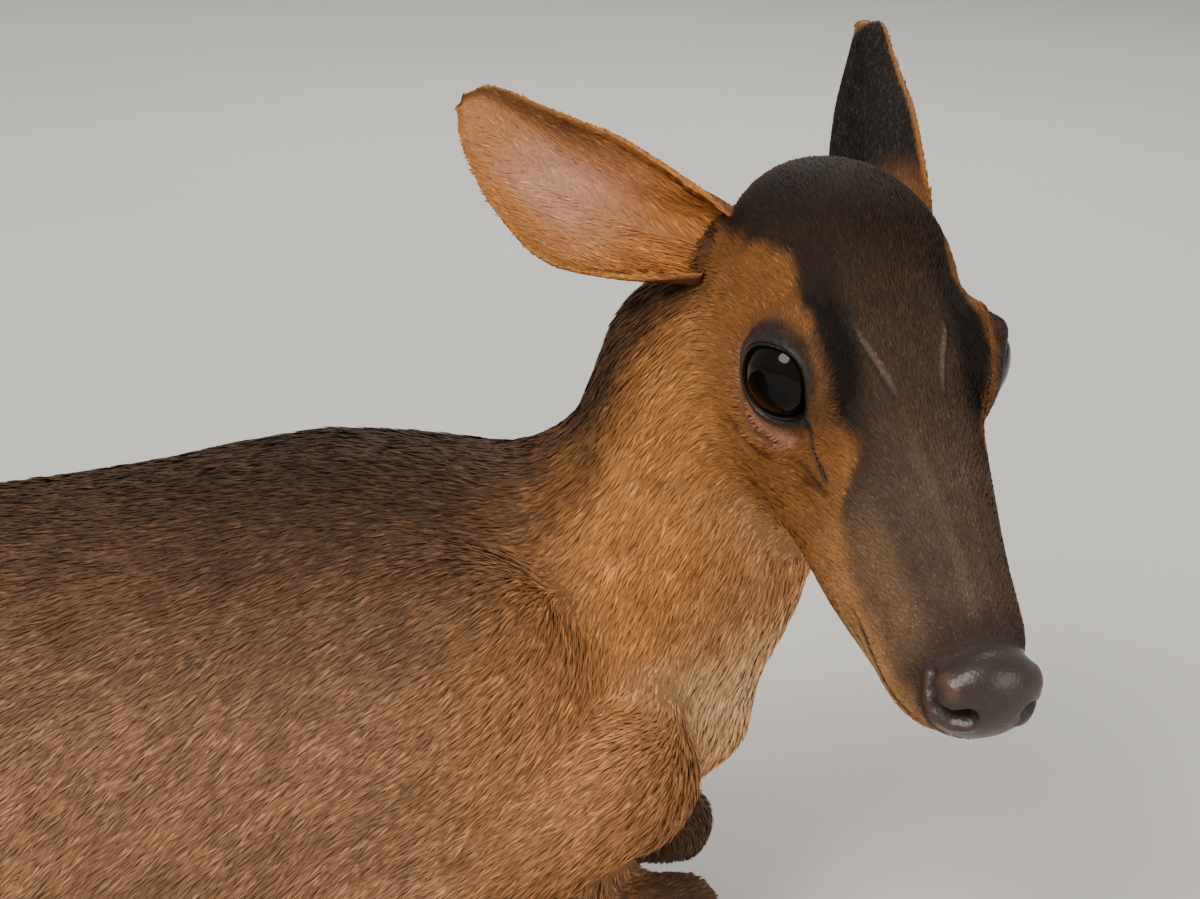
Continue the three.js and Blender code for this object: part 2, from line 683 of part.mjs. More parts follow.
const REGIONS = {
  nose: [HEAD, [MUZZLE - 15, -40, -34], [MUZZLE + 30, 40, 20]],
  ear_right: [EARS.right, [EAR_START, -24, -17], [EAR_START + 30, 24, 17]],
  ear_left: [EARS.left, [EAR_START, -24, -17], [EAR_START + 30, 24, 17]],
  head: [headCut, [-140, -68, 0], [190, 75, 150]],
  neck: [neckCut, [-130, -90, 0], [75, 90, 230]],
  tail: [along(TAIL_JOINTS[1][0], TAIL_JOINTS[2][0], [-1, 0, 0.3]), [-14, -30, -17], [110, 30, 40]],
};
for (const [name, side] of [['right', -1], ['left', 1]]) {
  const fore = foreLeg(side);
  const hind = hindLeg(side);
  const up = [0, 0, 1];
  for (const [limbName, leg] of [['fore_', fore], ['hind_', hind]]) {
    const start = reach(leg.fetlock, leg.toe) + 2;
    const foot = along(leg.fetlock, leg.toe, up);
    REGIONS['hooves_' + limbName + name] = [foot, [start, -16, -20], [start + 30, 16, 14]];
  }
  REGIONS['forearm_' + name] = [along(fore.elbow, fore.carpus, up), [4, -24, -13], [150, 24, 24]];
  const foreToe = -reach(fore.fetlock, fore.toe) - 4;
  REGIONS['cannon_fore_' + name] = [along(fore.fetlock, fore.carpus, up), [foreToe, -17, -24], [120, 17, 15]];
  REGIONS['shank_' + name] = [along(hind.stifle, hind.hock, up), [-24, -34, -17], [190, 34, 20]];
  const hindToe = reach(hind.hock, hind.fetlock) + reach(hind.fetlock, hind.toe) + 4;
  REGIONS['cannon_hind_' + name] = [along(hind.hock, hind.fetlock, up), [-30, -22, -24], [hindToe, 22, 11]];
  const flank = side > 0 ? [44, 130] : [-130, -44];
  REGIONS['thigh_' + name] = [bodyFrame([-294, 0, 0]), [-88, flank[0], 18], [88, flank[1], 150]];
}
const ORDER = Object.keys(REGIONS);

const regionSolid = (name, grow) => block(...REGIONS[name], grow, name.startsWith('thigh'));

// What a region takes of a form, less what the regions before it take
function taken(shape, name) {
  const own = ORDER.indexOf(name);
  let part = own < 0 ? shape : shape.intersect(regionSolid(name, 0));
  for (const before of ORDER.slice(0, own < 0 ? ORDER.length : own)) {
    part = part.subtract(regionSolid(before, GAP));
  }
  return largest(part.subtract(FLOOR));
}

// A grid that holds a region's flesh
function regionLines(low, high, steps) {
  return low.map((value, k) => gridLines(value, high[k], steps[k]));
}

// Colours of the parts
const tone = (color, roughness = 0.9) =>
  new THREE.MeshStandardMaterial({ color, roughness, metalness: 0 });
const TAN = tone(0xa06a3a);
const BROWN = tone(0x5c3d28);
const DARK = tone(0x50433a);
const NOSE = tone(0x3c3532, 0.35);
const HORN = tone(0x2b2522, 0.5);
const EYE = tone(0x0c0a09, 0.05);

const group = new THREE.Group();

// Faces round a vertex, and its neighbours
function ringOf(faces, vertex) {
  const around = faces.filter((face) => face.includes(vertex));
  return { around, near: new Set(around.flat().filter((v) => v !== vertex)) };
}

function normalOf(places, face) {
  const [a, b, c] = face.map((v) => places[v]);
  return cross(plus(b, a, -1), plus(c, a, -1));
}

// True where a change from old faces to new ones turns none of them over
function keepsFacing(before, after) {
  const whole = before.reduce((sum, normal) => plus(sum, normal), [0, 0, 0]);
  return after.every((normal) => dot(normal, whole) > 0);
}

// Vertex b is drawn into a, where that keeps the surface whole and facing out
function drawTogether(places, faces, a, b) {
  const one = ringOf(faces, a);
  const other = ringOf(faces, b);
  const shared = [...one.near].filter((v) => other.near.has(v));
  if (shared.length !== 2) return null;
  const moved = other.around.filter((face) => !face.includes(a));
  const turned = moved.some((face) => {
    const swapped = face.map((v) => (v === b ? a : v));
    const before = normalOf(places, face);
    const after = normalOf(places, swapped);
    const size = Math.hypot(...before) * Math.hypot(...after);
    return dot(before, after) < 0.3 * size;
  });
  if (turned) return null;
  const kept = faces.filter((face) => !(face.includes(a) && face.includes(b)));
  return kept.map((face) => face.map((v) => (v === b ? a : v)));
}

// The long edge a-b of a flat sliver is turned to join its far corners
function turnEdge(places, faces, a, b, c) {
  const own = faces.find((face) => face.includes(a) && face.includes(b) && face.includes(c));
  const next = faces.find((face) => face !== own && face.includes(a) && face.includes(b));
  const d = next.find((v) => v !== a && v !== b);
  if (ringOf(faces, c).near.has(d)) return null;
  const rest = faces.filter((face) => face !== own && face !== next);
  const swapped = (face, from, to) => face.map((v) => (v === from ? to : v));
  const made = [swapped(own, b, d), swapped(own, a, d)];
  const before = [own, next].map((face) => normalOf(places, face));
  if (!keepsFacing(before, made.map((face) => normalOf(places, face)))) return null;
  return [...rest, ...made];
}

// Cuts leave slivers thinner than a hair. They are closed up one by one.
function withoutSlivers(mesh) {
  const places = [];
  for (let i = 0; i < mesh.vertProperties.length; i += 3) {
    places.push([...mesh.vertProperties.slice(i, i + 3)]);
  }
  let faces = [];
  for (let i = 0; i < mesh.triVerts.length; i += 3) faces.push([...mesh.triVerts.slice(i, i + 3)]);
  const skipped = new Set();
  const span = (a, b) => Math.hypot(...plus(places[a], places[b], -1));
  for (let pass = 0; pass < 600; pass += 1) {
    const thin = faces.find((face) => {
      if (skipped.has(face.join())) return false;
      const area = Math.hypot(...normalOf(places, face));
      const sides = [span(face[0], face[1]), span(face[1], face[2]), span(face[2], face[0])];
      return area / Math.max(...sides, 1e-9) < SLIVER || Math.min(...sides) < SLIVER * 2;
    });
    if (!thin) break;
    const edges = [0, 1, 2].map((k) => [thin[k], thin[(k + 1) % 3], thin[(k + 2) % 3]]);
    edges.sort((m, n) => span(m[0], m[1]) - span(n[0], n[1]));
    const [shortest, , longest] = edges;
    let result = null;
    if (span(shortest[0], shortest[1]) < SHORT_EDGE) {
      const [a, b] = shortest;
      const onFloor = Math.abs(places[b][2]) < Math.abs(places[a][2]);
      const [keep, drop] = onFloor ? [b, a] : [a, b];
      result = drawTogether(places, faces, keep, drop) || drawTogether(places, faces, drop, keep);
    }
    if (!result) result = turnEdge(places, faces, ...longest);
    if (result) faces = result;
    else skipped.add(thin.join());
  }
  return { places, faces };
}

function addNode(name, shape, material) {
  const { places, faces } = withoutSlivers(shape.getMesh());
  const bare = new THREE.BufferGeometry();
  bare.setAttribute('position', new THREE.BufferAttribute(new Float32Array(places.flat()), 3));
  bare.setIndex(new THREE.BufferAttribute(new Uint32Array(faces.flat()), 1));
  const geometry = mergeVertices(bare, 1e-5);
  geometry.computeVertexNormals();
  const node = new THREE.Mesh(geometry, material);
  node.name = name;
  group.add(node);
}

// Head with its lids, slits, mouth and nostrils
const eyeFrames = { right: eyeFrame(-1), left: eyeFrame(1) };
const SIDES = { right: -1, left: 1 };

// The animal's field in a box of a frame, as the flesh of one part
function flesh(name, frame, low, high, steps, field = animal) {
  return taken(contour(field, frame, regionLines(low, high, steps)), name);
}

// The lowest part of a leg, kept clear of the belly that lies on it
function shinField(top, leg) {
  const joints = [[leg[top], 14], [leg.fetlock, 9.5], [leg.toe, 8.5]];
  return (p) => Math.max(animal(p), limb(bodyLocal(p), joints, 3) - 2.5);
}

function buildHead() {
  let nose = flesh('nose', HEAD, [MUZZLE - 24, -24, -60], [MUZZLE + 8, 24, 2], [3.4, 3.4, 3.4]);
  let head = flesh('head', HEAD, [-100, -72, -100], [MUZZLE + 8, 60, 48], [6.8, 6.4, 6.4]);
  for (const [name, side] of Object.entries(SIDES)) {
    head = head.add(lids(eyeFrames[name])).subtract(eyeOpening(eyeFrames[name], 0));
    nose = nose.subtract(nostril(side));
    addNode('eye_' + name, eyeball(eyeFrames[name]), EYE);
    addNode('ear_' + name, earSolid(EARS[name], side), TAN);
  }
  for (const cutter of [...headSlits(), mouthSlit()]) head = head.subtract(cutter);
  addNode('head', largest(head), TAN);
  addNode('nose', largest(nose), NOSE);
}

function buildTrunk() {
  addNode('neck', flesh('neck', WORLD, [-30, -90, 20], [190, 120, 290], [13, 13, 13]), TAN);
  addNode('torso', flesh('torso', WORLD, [-470, -190, -40], [150, 130, 230], [22, 20, 20]), BROWN);
  addNode('tail', flesh('tail', WORLD, [-470, -130, -20], [-340, 0, 160], [9, 9, 9]), BROWN);
}

// Two claws at the end of a leg, and the dew claws joined to its last part
function buildFoot(name, leg, front, shape) {
  const ahead = plus(leg.toe, plus(leg.toe, leg.fetlock, -1));
  const foot = hoofFrame(leg.toe, ahead, front);
  let result = shape;
  for (const [letter, side] of [['_a', -1], ['_b', 1]]) {
    const claw = hoof(foot, side).intersect(block(foot, [2.4, -20, -20], [60, 20, 20]));
    addNode(name + letter, largest(claw.subtract(FLOOR)), HORN);
    result = result.add(dewClaw(foot, side)).subtract(FLOOR);
  }
  return result;
}

function buildLeg(name, side) {
  for (const part of ['forearm_', 'cannon_fore_', 'shank_', 'cannon_hind_']) {
    const [frame, low, high] = REGIONS[part + name];
    const wide = low.map((value) => Math.max(value, -60) - 9);
    const far = high.map((value) => value + 9);
    let field = animal;
    if (part === 'cannon_fore_') field = shinField('carpus', foreLeg(side));
    if (part === 'cannon_hind_') field = shinField('hock', hindLeg(side));
    let shape = flesh(part + name, frame, wide, far, [11.5, 9, 9], field);
    if (part === 'cannon_fore_') shape = buildFoot('hoof_fore_' + name, foreLeg(side), [0, 0, -1], shape);
    if (part === 'cannon_hind_') shape = buildFoot('hoof_hind_' + name, hindLeg(side), [0, 0, 1], shape);
    addNode(part + name, largest(shape), part.startsWith('cannon') ? DARK : BROWN);
  }
  const inner = 30 * side;
  const outer = 112 * side;
  const low = [-106, Math.min(inner, outer), 6];
  const high = [106, Math.max(inner, outer), 176];
  const thigh = flesh('thigh_' + name, bodyFrame([-298, 0, 0]), low, high, [16, 15, 15]);
  addNode('thigh_' + name, thigh, BROWN);
}

buildHead();
buildTrunk();
for (const [name, side] of Object.entries(SIDES)) buildLeg(name, side);

// The origin is the middle of the model's footprint, on the floor
const extent = new THREE.Box3().setFromObject(group);
const middle = extent.getCenter(new THREE.Vector3());
for (const node of group.children) node.geometry.translate(-middle.x, -middle.y, -extent.min.z);

export default group;
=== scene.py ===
# A life-size still model of a lying muntjac: skin, coat, eyes, ears, hooves, floor, light and camera.
# The skin follows the same field of distances as the solids, deeper by the depth of the coat.
# Forms are worked out in millimetres and set down in metres.
import itertools
import math
import bpy
import numpy as np
from mathutils import Matrix


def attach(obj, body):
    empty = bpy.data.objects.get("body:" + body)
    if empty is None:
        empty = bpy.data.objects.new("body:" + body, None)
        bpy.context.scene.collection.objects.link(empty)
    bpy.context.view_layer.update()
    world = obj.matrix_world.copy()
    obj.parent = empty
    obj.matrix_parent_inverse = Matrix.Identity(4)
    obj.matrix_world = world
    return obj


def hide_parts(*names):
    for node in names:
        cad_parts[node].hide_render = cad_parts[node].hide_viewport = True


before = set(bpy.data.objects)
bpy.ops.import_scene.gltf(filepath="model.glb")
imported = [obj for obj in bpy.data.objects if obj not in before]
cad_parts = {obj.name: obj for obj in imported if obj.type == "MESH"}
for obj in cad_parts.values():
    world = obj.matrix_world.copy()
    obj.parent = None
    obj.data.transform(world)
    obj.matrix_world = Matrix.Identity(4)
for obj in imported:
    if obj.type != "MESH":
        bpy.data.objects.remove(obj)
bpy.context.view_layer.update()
rng = np.random.default_rng(7)

# Driving dimensions, in millimetres and degrees
MM = 0.001
MIDDLE = np.array([-118.031, -39.983, 0.0])  # the model's origin, in the frame the forms are worked out in
WITHERS = 189.0
BODY_HEADING = 9.0
BODY_BEND = 0.039
HEAD_PLACE = (138.0, -38.0, 223.0)
HEAD_YAW = -71.5
HEAD_PITCH = 28.0
HEAD_ROLL = -1.5
MUZZLE = 104.0
EYE_RADIUS = 14.0
EYE_CENTRE = (-2.6, 26.2, -1.0)
EYE_FLAT = 0.86  # depth of the eyeball against its width
EYE_AXIS = (0.583, 0.803, 0.122)
EYE_TILT = -12.0
LID_LENGTH = 12.0
LID_HEIGHT = 11.0
LID_DEPTH = 1.5  # thickness of the lids over the eyeball
LID_RIM_HALF = 0.62  # half the thickness of their bare rim
CORNEA_RISE = 0.9
SOCKET_DEPTH = 4.6  # how far the skin sinks behind the opening of the lids
EAR_LENGTH = 94.0
EAR_ROOT = (-54.0, 27.0, -4.0)
EAR_LIFT = 6.0
EAR_START = 3.0  # first row of the ear's sheet, inside its root
SPINE_RADIUS = 180.0 / (math.pi * BODY_BEND)
SKIN_STEP = 3.0  # cell of the grid that the skin is drawn from
SKIN_LOW = (-424, -190, -9)  # corners of that grid
SKIN_HIGH = (192, 110, 282)
SKIN_FLOOR = 0.9  # least height of the skin over the floor
HAIR_FLOOR = 0.25  # least height of a hair over the floor
PART_SOFTNESS = 6.0  # how softly the parts of the body run into each other
LEAST_SHARE = 0.01  # a part that holds less of a place is left out there
SIDES = {"right": -1.0, "left": 1.0}

# Camera: the view of the photograph
FOCAL_PIXELS = 2148.0
IMAGE_WIDTH = 1200.0
SENSOR_WIDTH = 36.0
CAMERA_PLACE = np.array([60.0, -604.0, 405.0])
CAMERA_DOWN = np.array([-0.0239, 0.9384, 0.3446])  # the world's down, seen as right, down and ahead


def linear(red, green, blue):
    """An sRGB colour of 0 to 255, in linear light."""
    c = np.array([red, green, blue], float) / 255.0
    return np.where(c <= 0.04045, c / 12.92, ((c + 0.055) / 1.055) ** 2.4)


# Colours of the coat, skin and claws
BACK_TOP = linear(56, 39, 26)
BACK_SIDE = linear(146, 106, 76)
BELLY = linear(178, 138, 98)
NECK_SIDE = linear(178, 121, 68)
THROAT = linear(230, 184, 134)
NAPE = linear(80, 53, 33)
FACE = linear(122, 79, 40)
CHEEK = linear(152, 104, 56)
CROWN = linear(24, 18, 13)
FOREHEAD = linear(66, 50, 36)
BRIDGE = linear(80, 62, 49)
MUZZLE_SIDE = linear(118, 92, 69)
MUZZLE_LOW = linear(172, 126, 82)
CHIN = linear(208, 176, 134)
NOSE_PAD = linear(54, 43, 38)
NOSTRIL_SKIN = linear(90, 62, 52)
LID_RIM = linear(20, 15, 13)
# Painted glint on the wet inner lower edge of the lid rims
LID_GLINT = linear(40, 32, 29)
BARE_LID = linear(186, 130, 98)
LEG_DARK = linear(62, 46, 36)
EAR_BACK = linear(24, 15, 9)
EAR_BASE = linear(112, 66, 28)
EAR_INSIDE = linear(196, 140, 108)
EAR_LOW = linear(176, 112, 52)
EAR_RIM = linear(178, 118, 56)
TAIL_TOP = linear(96, 60, 34)
TAIL_LOW = linear(216, 200, 178)
CLAW = linear(58, 48, 42)
CLAW_TIP = linear(30, 25, 22)

# Colours of the eye, in linear light
IRIS = np.array([0.0050, 0.0028, 0.0018])
PUPIL = np.array([0.0015, 0.0013, 0.0015])
EYE_EDGE = np.array([0.010, 0.007, 0.006])


def unit(v):
    v = np.asarray(v, float)
    return v / np.maximum(np.linalg.norm(v, axis=-1, keepdims=True), 1e-9)


def dot(a, b):
    return (np.asarray(a) * np.asarray(b)).sum(-1)


def smoothstep(x, low, high):
    t = np.clip((x - low) / (high - low), 0.0, 1.0)
    return t * t * (3.0 - 2.0 * t)


def fade(x, low, high):
    """One up to the low end, falling to zero at the high one."""
    return 1 - smoothstep(x, low, high)


def hump(x, width, middle=0.0):
    """One at the middle, falling off to both sides."""
    return np.exp(-(((x - middle) / width) ** 2))


def folded(q):
    """Both sides of the head laid onto one."""
    return np.stack([q[..., 0], np.abs(q[..., 1]), q[..., 2]], -1)


def mirrored(a, side):
    return np.array([a[0], a[1] * side, a[2]], float)


class Place:
    """An origin and three axes. It turns world places into its own and back."""

    def __init__(self, origin, axes):
        self.origin = np.asarray(origin, float)
        self.axes = np.asarray(axes, float)

    def local(self, p):
        return (p - self.origin) @ self.axes.T

    def world(self, q):
        return self.origin + np.asarray(q, float) @ self.axes

    def turn(self, q):
        return np.asarray(q, float) @ self.axes


def aimed(origin, first, lean):
    u = unit(first)
    w = unit(np.asarray(lean, float) - u * dot(lean, u))
    return Place(origin, [u, np.cross(w, u), w])


def head_place():
    turn = (
        Matrix.Rotation(math.radians(HEAD_YAW), 3, "Z")
        @ Matrix.Rotation(math.radians(HEAD_PITCH), 3, "Y")
        @ Matrix.Rotation(math.radians(HEAD_ROLL), 3, "X")
    )
    return Place(HEAD_PLACE, np.array(turn).T)


HEAD = head_place()
COSINE = math.cos(math.radians(BODY_HEADING))
SINE = math.sin(math.radians(BODY_HEADING))


def body_local(p):
    ahead = p[..., 0] * COSINE + p[..., 1] * SINE
    aside = -p[..., 0] * SINE + p[..., 1] * COSINE + SPINE_RADIUS
    along = SPINE_RADIUS * np.arctan2(ahead, aside)
    across = np.hypot(ahead, aside) - SPINE_RADIUS
    return np.stack([along, across, p[..., 2]], -1)


def body_world(q):
    q = np.asarray(q, float)
    angle = q[..., 0] / SPINE_RADIUS
    ahead = (SPINE_RADIUS + q[..., 1]) * np.sin(angle)
    aside = (SPINE_RADIUS + q[..., 1]) * np.cos(angle) - SPINE_RADIUS
    return np.stack([ahead * COSINE - aside * SINE, ahead * SINE + aside * COSINE, q[..., 2]], -1)


def body_ahead(q):
    heading = np.radians(BODY_HEADING - q[..., 0] * BODY_BEND)
    return np.stack([np.cos(heading), np.sin(heading), np.zeros_like(heading)], -1)


# Forms of the field: each gives a distance, less than zero inside
def smooth_min(a, b, blend):
    h = np.maximum(blend - np.abs(a - b), 0.0) / blend
    return np.minimum(a, b) - h * h * blend * 0.25


def smooth_max(a, b, blend):
    return -smooth_min(-a, -b, blend)


def ellipsoid(p, centre, radii):
    q = (p - np.asarray(centre, float)) / np.asarray(radii, float)
    reach = np.linalg.norm(q, axis=-1)
    slope = np.linalg.norm(q / np.asarray(radii, float), axis=-1)
    return reach * (reach - 1.0) / np.maximum(slope, 1e-9)


def bone_share(p, a, b):
    ab = b - a
    return np.clip(dot(p - a, ab) / dot(ab, ab), 0.0, 1.0)


def bone(p, a, b, radius_a, radius_b):
    a = np.asarray(a, float)
    b = np.asarray(b, float)
    t = bone_share(p, a, b)
    return np.linalg.norm(p - a - t[..., None] * (b - a), axis=-1) - (radius_a + (radius_b - radius_a) * t)


def limb(p, joints, blend):
    d = None
    for (a, radius_a), (b, radius_b) in zip(joints[:-1], joints[1:]):
        piece = bone(p, a, b, radius_a, radius_b)
        d = piece if d is None else smooth_min(d, piece, blend)
    return d


def profile(pairs):
    """A smooth curve through (place, value) pairs, level beyond its ends."""
    x = np.array([pair[0] for pair in pairs], float)
    y = np.array([pair[1] for pair in pairs], float)
    slopes = np.zeros(len(x))
    slopes[1:-1] = (y[2:] - y[:-2]) / (x[2:] - x[:-2])

    def curve(at):
        at = np.clip(at, x[0], x[-1])
        i = np.clip(np.searchsorted(x, at), 1, len(x) - 1)
        width = x[i] - x[i - 1]
        t = (at - x[i - 1]) / width
        rise = (y[i] - y[i - 1]) / width
        a = slopes[i - 1]
        b = slopes[i]
        return y[i - 1] + width * t * (a + t * (3 * rise - 2 * a - b + t * (a + b - 2 * rise)))

    return curve


def loft(rows, round_top, round_low, end_blend):
    """A lofted form along its first axis. Rows give place, top, bottom, half width and widest level."""
    top, low, half, level = [profile([(row[0], row[k]) for row in rows]) for k in (1, 2, 3, 4)]
    first = rows[0][0]
    last = rows[-1][0]

    def distance(p):
        x = p[..., 0]
        wide = half(x)
        mid = level(x)
        above = p[..., 2] > mid
        tall = np.where(above, top(x) - mid, mid - low(x))
        power = np.where(above, round_top, round_low)
        a = np.abs(p[..., 1]) / wide
        b = np.abs(p[..., 2] - mid) / tall
        reach = np.maximum((a**power + b**power) ** (1.0 / power), 0.05)
        slope = reach ** (1 - power) * np.hypot(a ** (power - 1) / wide, b ** (power - 1) / tall)
        d = (reach - 1) / np.maximum(slope, 1e-6)
        d = np.where(reach > 0.05, d, -np.minimum(wide, tall))
        return smooth_max(d, np.maximum(first - x, x - last), end_blend)

    return distance


# Head, in its own frame: x to the nose, z to the crown
SKULL_ROWS = [
    (-72, 16, -38, 23, -10),
    (-54, 25, -52, 31, -10),
    (-36, 28, -62, 36, -12),
    (-18, 25, -65, 36, -14),
    (0, 19, -64, 32.5, -16),
    (22, 12, -61.5, 27.5, -20),
    (42, 6, -59, 24, -26),
    (62, 0, -54.5, 20, -28),
    (80, -6, -49.5, 17.5, -28),
    (92, -12, -45, 15, -28),
]
skull = loft(SKULL_ROWS, 2.2, 2.3, 10)

# Crown, brow, cheek, jaw's angle, nose and upper lip: centre, radii and softness
HEAD_FORMS = [
    ((-46, 0, 4), (31, 30, 24), 12),
    ((-2, 22, 2), (19, 14, 15), 8),
    ((-16, 22, -24), (35, 14.5, 20), 10),
    ((-32, 18, -40), (27, 17, 23), 10),
    ((MUZZLE - 10.5, 0, -23.5), (11, 16, 14), 4),
    ((74, 7, -33), (21, 10.5, 9.5), 5),
]


def head_field(q):
    p = folded(q)
    d = skull(p)
    for centre, radii, softness in HEAD_FORMS:
        d = smooth_min(d, ellipsoid(p, centre, radii), softness)
    return smooth_min(d, bone(p, (6, 0, -54), (80, 0, -45), 11.5, 8), 6)


# Ears, in frames of their own: u from root to tip, v across, w towards the open side
ear_half = profile([
    (0, 10.5), (11, 13), (28, 18), (46, 20.8), (64, 17.6), (79, 13), (89, 7.8), (EAR_LENGTH, 2.5),
])
ear_shift = profile([(0, 1), (22, 5), (48, 7.5), (70, 5), (EAR_LENGTH, -1)])
ear_cup = profile([(0, 15), (18, 14), (42, 11), (66, 7), (EAR_LENGTH, 3)])
ear_curl = profile([(0, 2.1), (16, 1.6), (40, 1.25), (EAR_LENGTH, 1)])
ear_thickness = profile([(0, 5), (20, 4), (60, 3.2), (EAR_LENGTH, 2.4)])


def ear_place(side, axis, open_side):
    return aimed(HEAD.world(mirrored(EAR_ROOT, side)), HEAD.turn(axis), HEAD.turn(open_side))


EARS = {
    "right": ear_place(-1, (-0.725, -0.684, -0.015), (0.56, -0.45, 0.7)),
    "left": ear_place(1, (-0.975, 0.14, 0.12), (0.12, 0.95, -0.3)),
}

# Trunk, in the frame of its arc
TRUNK_ROWS = [
    (-372, 132, 44, 36, 96),
    (-350, 145, 24, 50, 90),
    (-310, 162, 4, 64, 84),
    (-250, 170, -6, 76, 78),
    (-180, 170, -7, 84, 76),
    (-110, 175, -6, 82, 78),
    (-72, 180, 2, 78, 80),
    (-42, 186, 16, 73, 82),
    (-12, WITHERS, 25, 68, 84),
    (25, 181, 29, 61, 84),
    (56, 158, 34, 50, 82),
    (80, 116, 40, 32, 76),
]
trunk = loft(TRUNK_ROWS, 2.1, 2.5, 24)
TAIL_JOINTS = [((-364, 0, 122), 19), ((-390, 3, 96), 16), ((-406, 8, 62), 13), ((-418, 14, 26), 8)]


def fore_leg(side):
    shift = 3 if side > 0 else -2
    return {
        "shoulder": np.array([62, 42 * side, 94], float),
        "elbow": np.array([-14 + shift, 58 * side, 48], float),
        "carpus": np.array([88 + shift, 30 * side, 34], float),
        "fetlock": np.array([10 + shift, 35 * side, 9.5], float),
        "toe": np.array([-24 + shift, 38 * side, 8], float),
    }


def hind_leg(side):
    shift = 6 if side > 0 else -4
    return {
        "hip": np.array([-325, 46 * side, 112], float),
        "stifle": np.array([-234 + shift, 74 * side, 57], float),
        "hock": np.array([-366 + shift, 66 * side, 17], float),
        "fetlock": np.array([-266 + shift, 84 * side, 9.5], float),
        "toe": np.array([-230 + shift, 87 * side, 8], float),
    }


LIMB_ENDS = {
    "arm": ("shoulder", "elbow"),
    "forearm": ("elbow", "carpus"),
    "cannon_fore": ("carpus", "toe"),
    "thigh": ("hip", "stifle"),
    "shank": ("stifle", "hock"),
    "cannon_hind": ("hock", "toe"),
}


def limb_ends(name):
    """Both ends of a part of a leg, in the body's frame, and its side."""
    part, side_name = name.rsplit("_", 1)
    side = SIDES[side_name]
    leg = fore_leg(side) if "fore" in part or "arm" in part else hind_leg(side)
    top, low = LIMB_ENDS[part]
    return leg[top], leg[low], side


def cannon(p, leg, top, radius):
    """The lower leg, from the joint at its top to the toe."""
    return limb(p, [(leg[top], radius), (leg["fetlock"], 9.5), (leg["toe"], 8.5)], 3)


def fore_leg_forms(p, side):
    """Arm, forearm and cannon."""
    leg = fore_leg(side)
    arm = bone(p, leg["shoulder"], leg["elbow"], 30, 21)
    forearm = bone(p, leg["elbow"], leg["carpus"], 20, 14.5)
    return arm, forearm, cannon(p, leg, "carpus", 13.5)


def fore_leg_field(p, side):
    arm, forearm, lower = fore_leg_forms(p, side)
    return smooth_min(smooth_min(arm, forearm, 14), lower, 3)


def thigh(p, side):
    return ellipsoid(p, (-298, 52 * side, 86), (74, 36, 66))


def hind_leg_field(p, side):
    leg = hind_leg(side)
    calf = leg["stifle"] + 0.45 * (leg["hock"] - leg["stifle"])
    d = smooth_min(thigh(p, side), bone(p, leg["hip"], leg["stifle"], 40, 27), 16)
    d = smooth_min(d, limb(p, [(leg["stifle"], 24), (calf, 22), (leg["hock"], 14)], 8), 8)
    return smooth_min(d, cannon(p, leg, "hock", 13), 3)


def rump(p):
    return ellipsoid(p, (-338, 0, 104), (52, 50, 57))


def trunk_field(p):
    d = trunk(p)
    d = smooth_min(d, ellipsoid(p, (50, 2, 82), (34, 38, 42)), 18)
    d = smooth_min(d, rump(p), 24)
    for side in (-1, 1):
        d = smooth_min(d, ellipsoid(p, (18, 44 * side, 104), (44, 25, 62)), 20)
        d = smooth_min(d, fore_leg_field(p, side), 9)
        d = smooth_min(d, hind_leg_field(p, side), 10)
    return smooth_min(d, limb(p, TAIL_JOINTS, 18), 8)


NECK_JOINTS = [((46, 6, 104), 53), ((80, 14, 150), 40), ((98, 18, 200), 36), (HEAD.world((-46, 0, -22)), 31)]
CREST_JOINTS = [((4, 5, 139), 41), ((64, 12, 155), 33)]
THROAT_JOINTS = [((84, 10, 98), 30), ((93, 8, 140), 26), (HEAD.world((-26, 0, -46)), 21)]


def animal(p):
    d = trunk_field(body_local(p))
    d = smooth_min(d, limb(p, CREST_JOINTS, 24), 12)
    d = smooth_min(d, limb(p, NECK_JOINTS, 24), 13)
    d = smooth_min(d, limb(p, THROAT_JOINTS, 16), 14)
    d = smooth_min(d, head_field(HEAD.local(p)), 14)
    for ear in EARS.values():
        d = smooth_min(d, ellipsoid(ear.local(p), (-2, 0, -3), (15, 12.5, 13)), 6)
    return d


# The eye's own frame: u to the front corner, v up, w out of the head
def eye_place(side):
    out = unit(mirrored(EYE_AXIS, side))
    tilt = math.radians(EYE_TILT)
    ahead = np.array([math.cos(tilt), 0, math.sin(tilt)])
    u = unit(ahead - out * dot(ahead, out))
    axes = [HEAD.turn(u), HEAD.turn(np.cross(u, out) * side), HEAD.turn(out)]
    return Place(HEAD.world(mirrored(EYE_CENTRE, side)), axes)


EYES = {name: eye_place(side) for name, side in SIDES.items()}


def lid_reach(e):
    """How far a place lies outside the edge of the lids, across the eye."""
    u = e[..., 0]
    v = e[..., 1]
    angle = np.arctan2(v / LID_HEIGHT, u / LID_LENGTH)
    narrow = lid_narrow(np.cos(angle))
    return (np.hypot(u / LID_LENGTH, v / (LID_HEIGHT * narrow)) - 1) * LID_LENGTH


def lid_narrow(cosine):
    """The opening is drawn in towards its corners, most at the front."""
    return 1 - 0.28 * np.maximum(cosine, 0) ** 2 - 0.14 * np.maximum(-cosine, 0) ** 2


def eye_reach(e):
    """Distance from the middle of the eye, its depth stretched to its width."""
    return np.linalg.norm(e / np.array([1, 1, EYE_FLAT]), axis=-1)


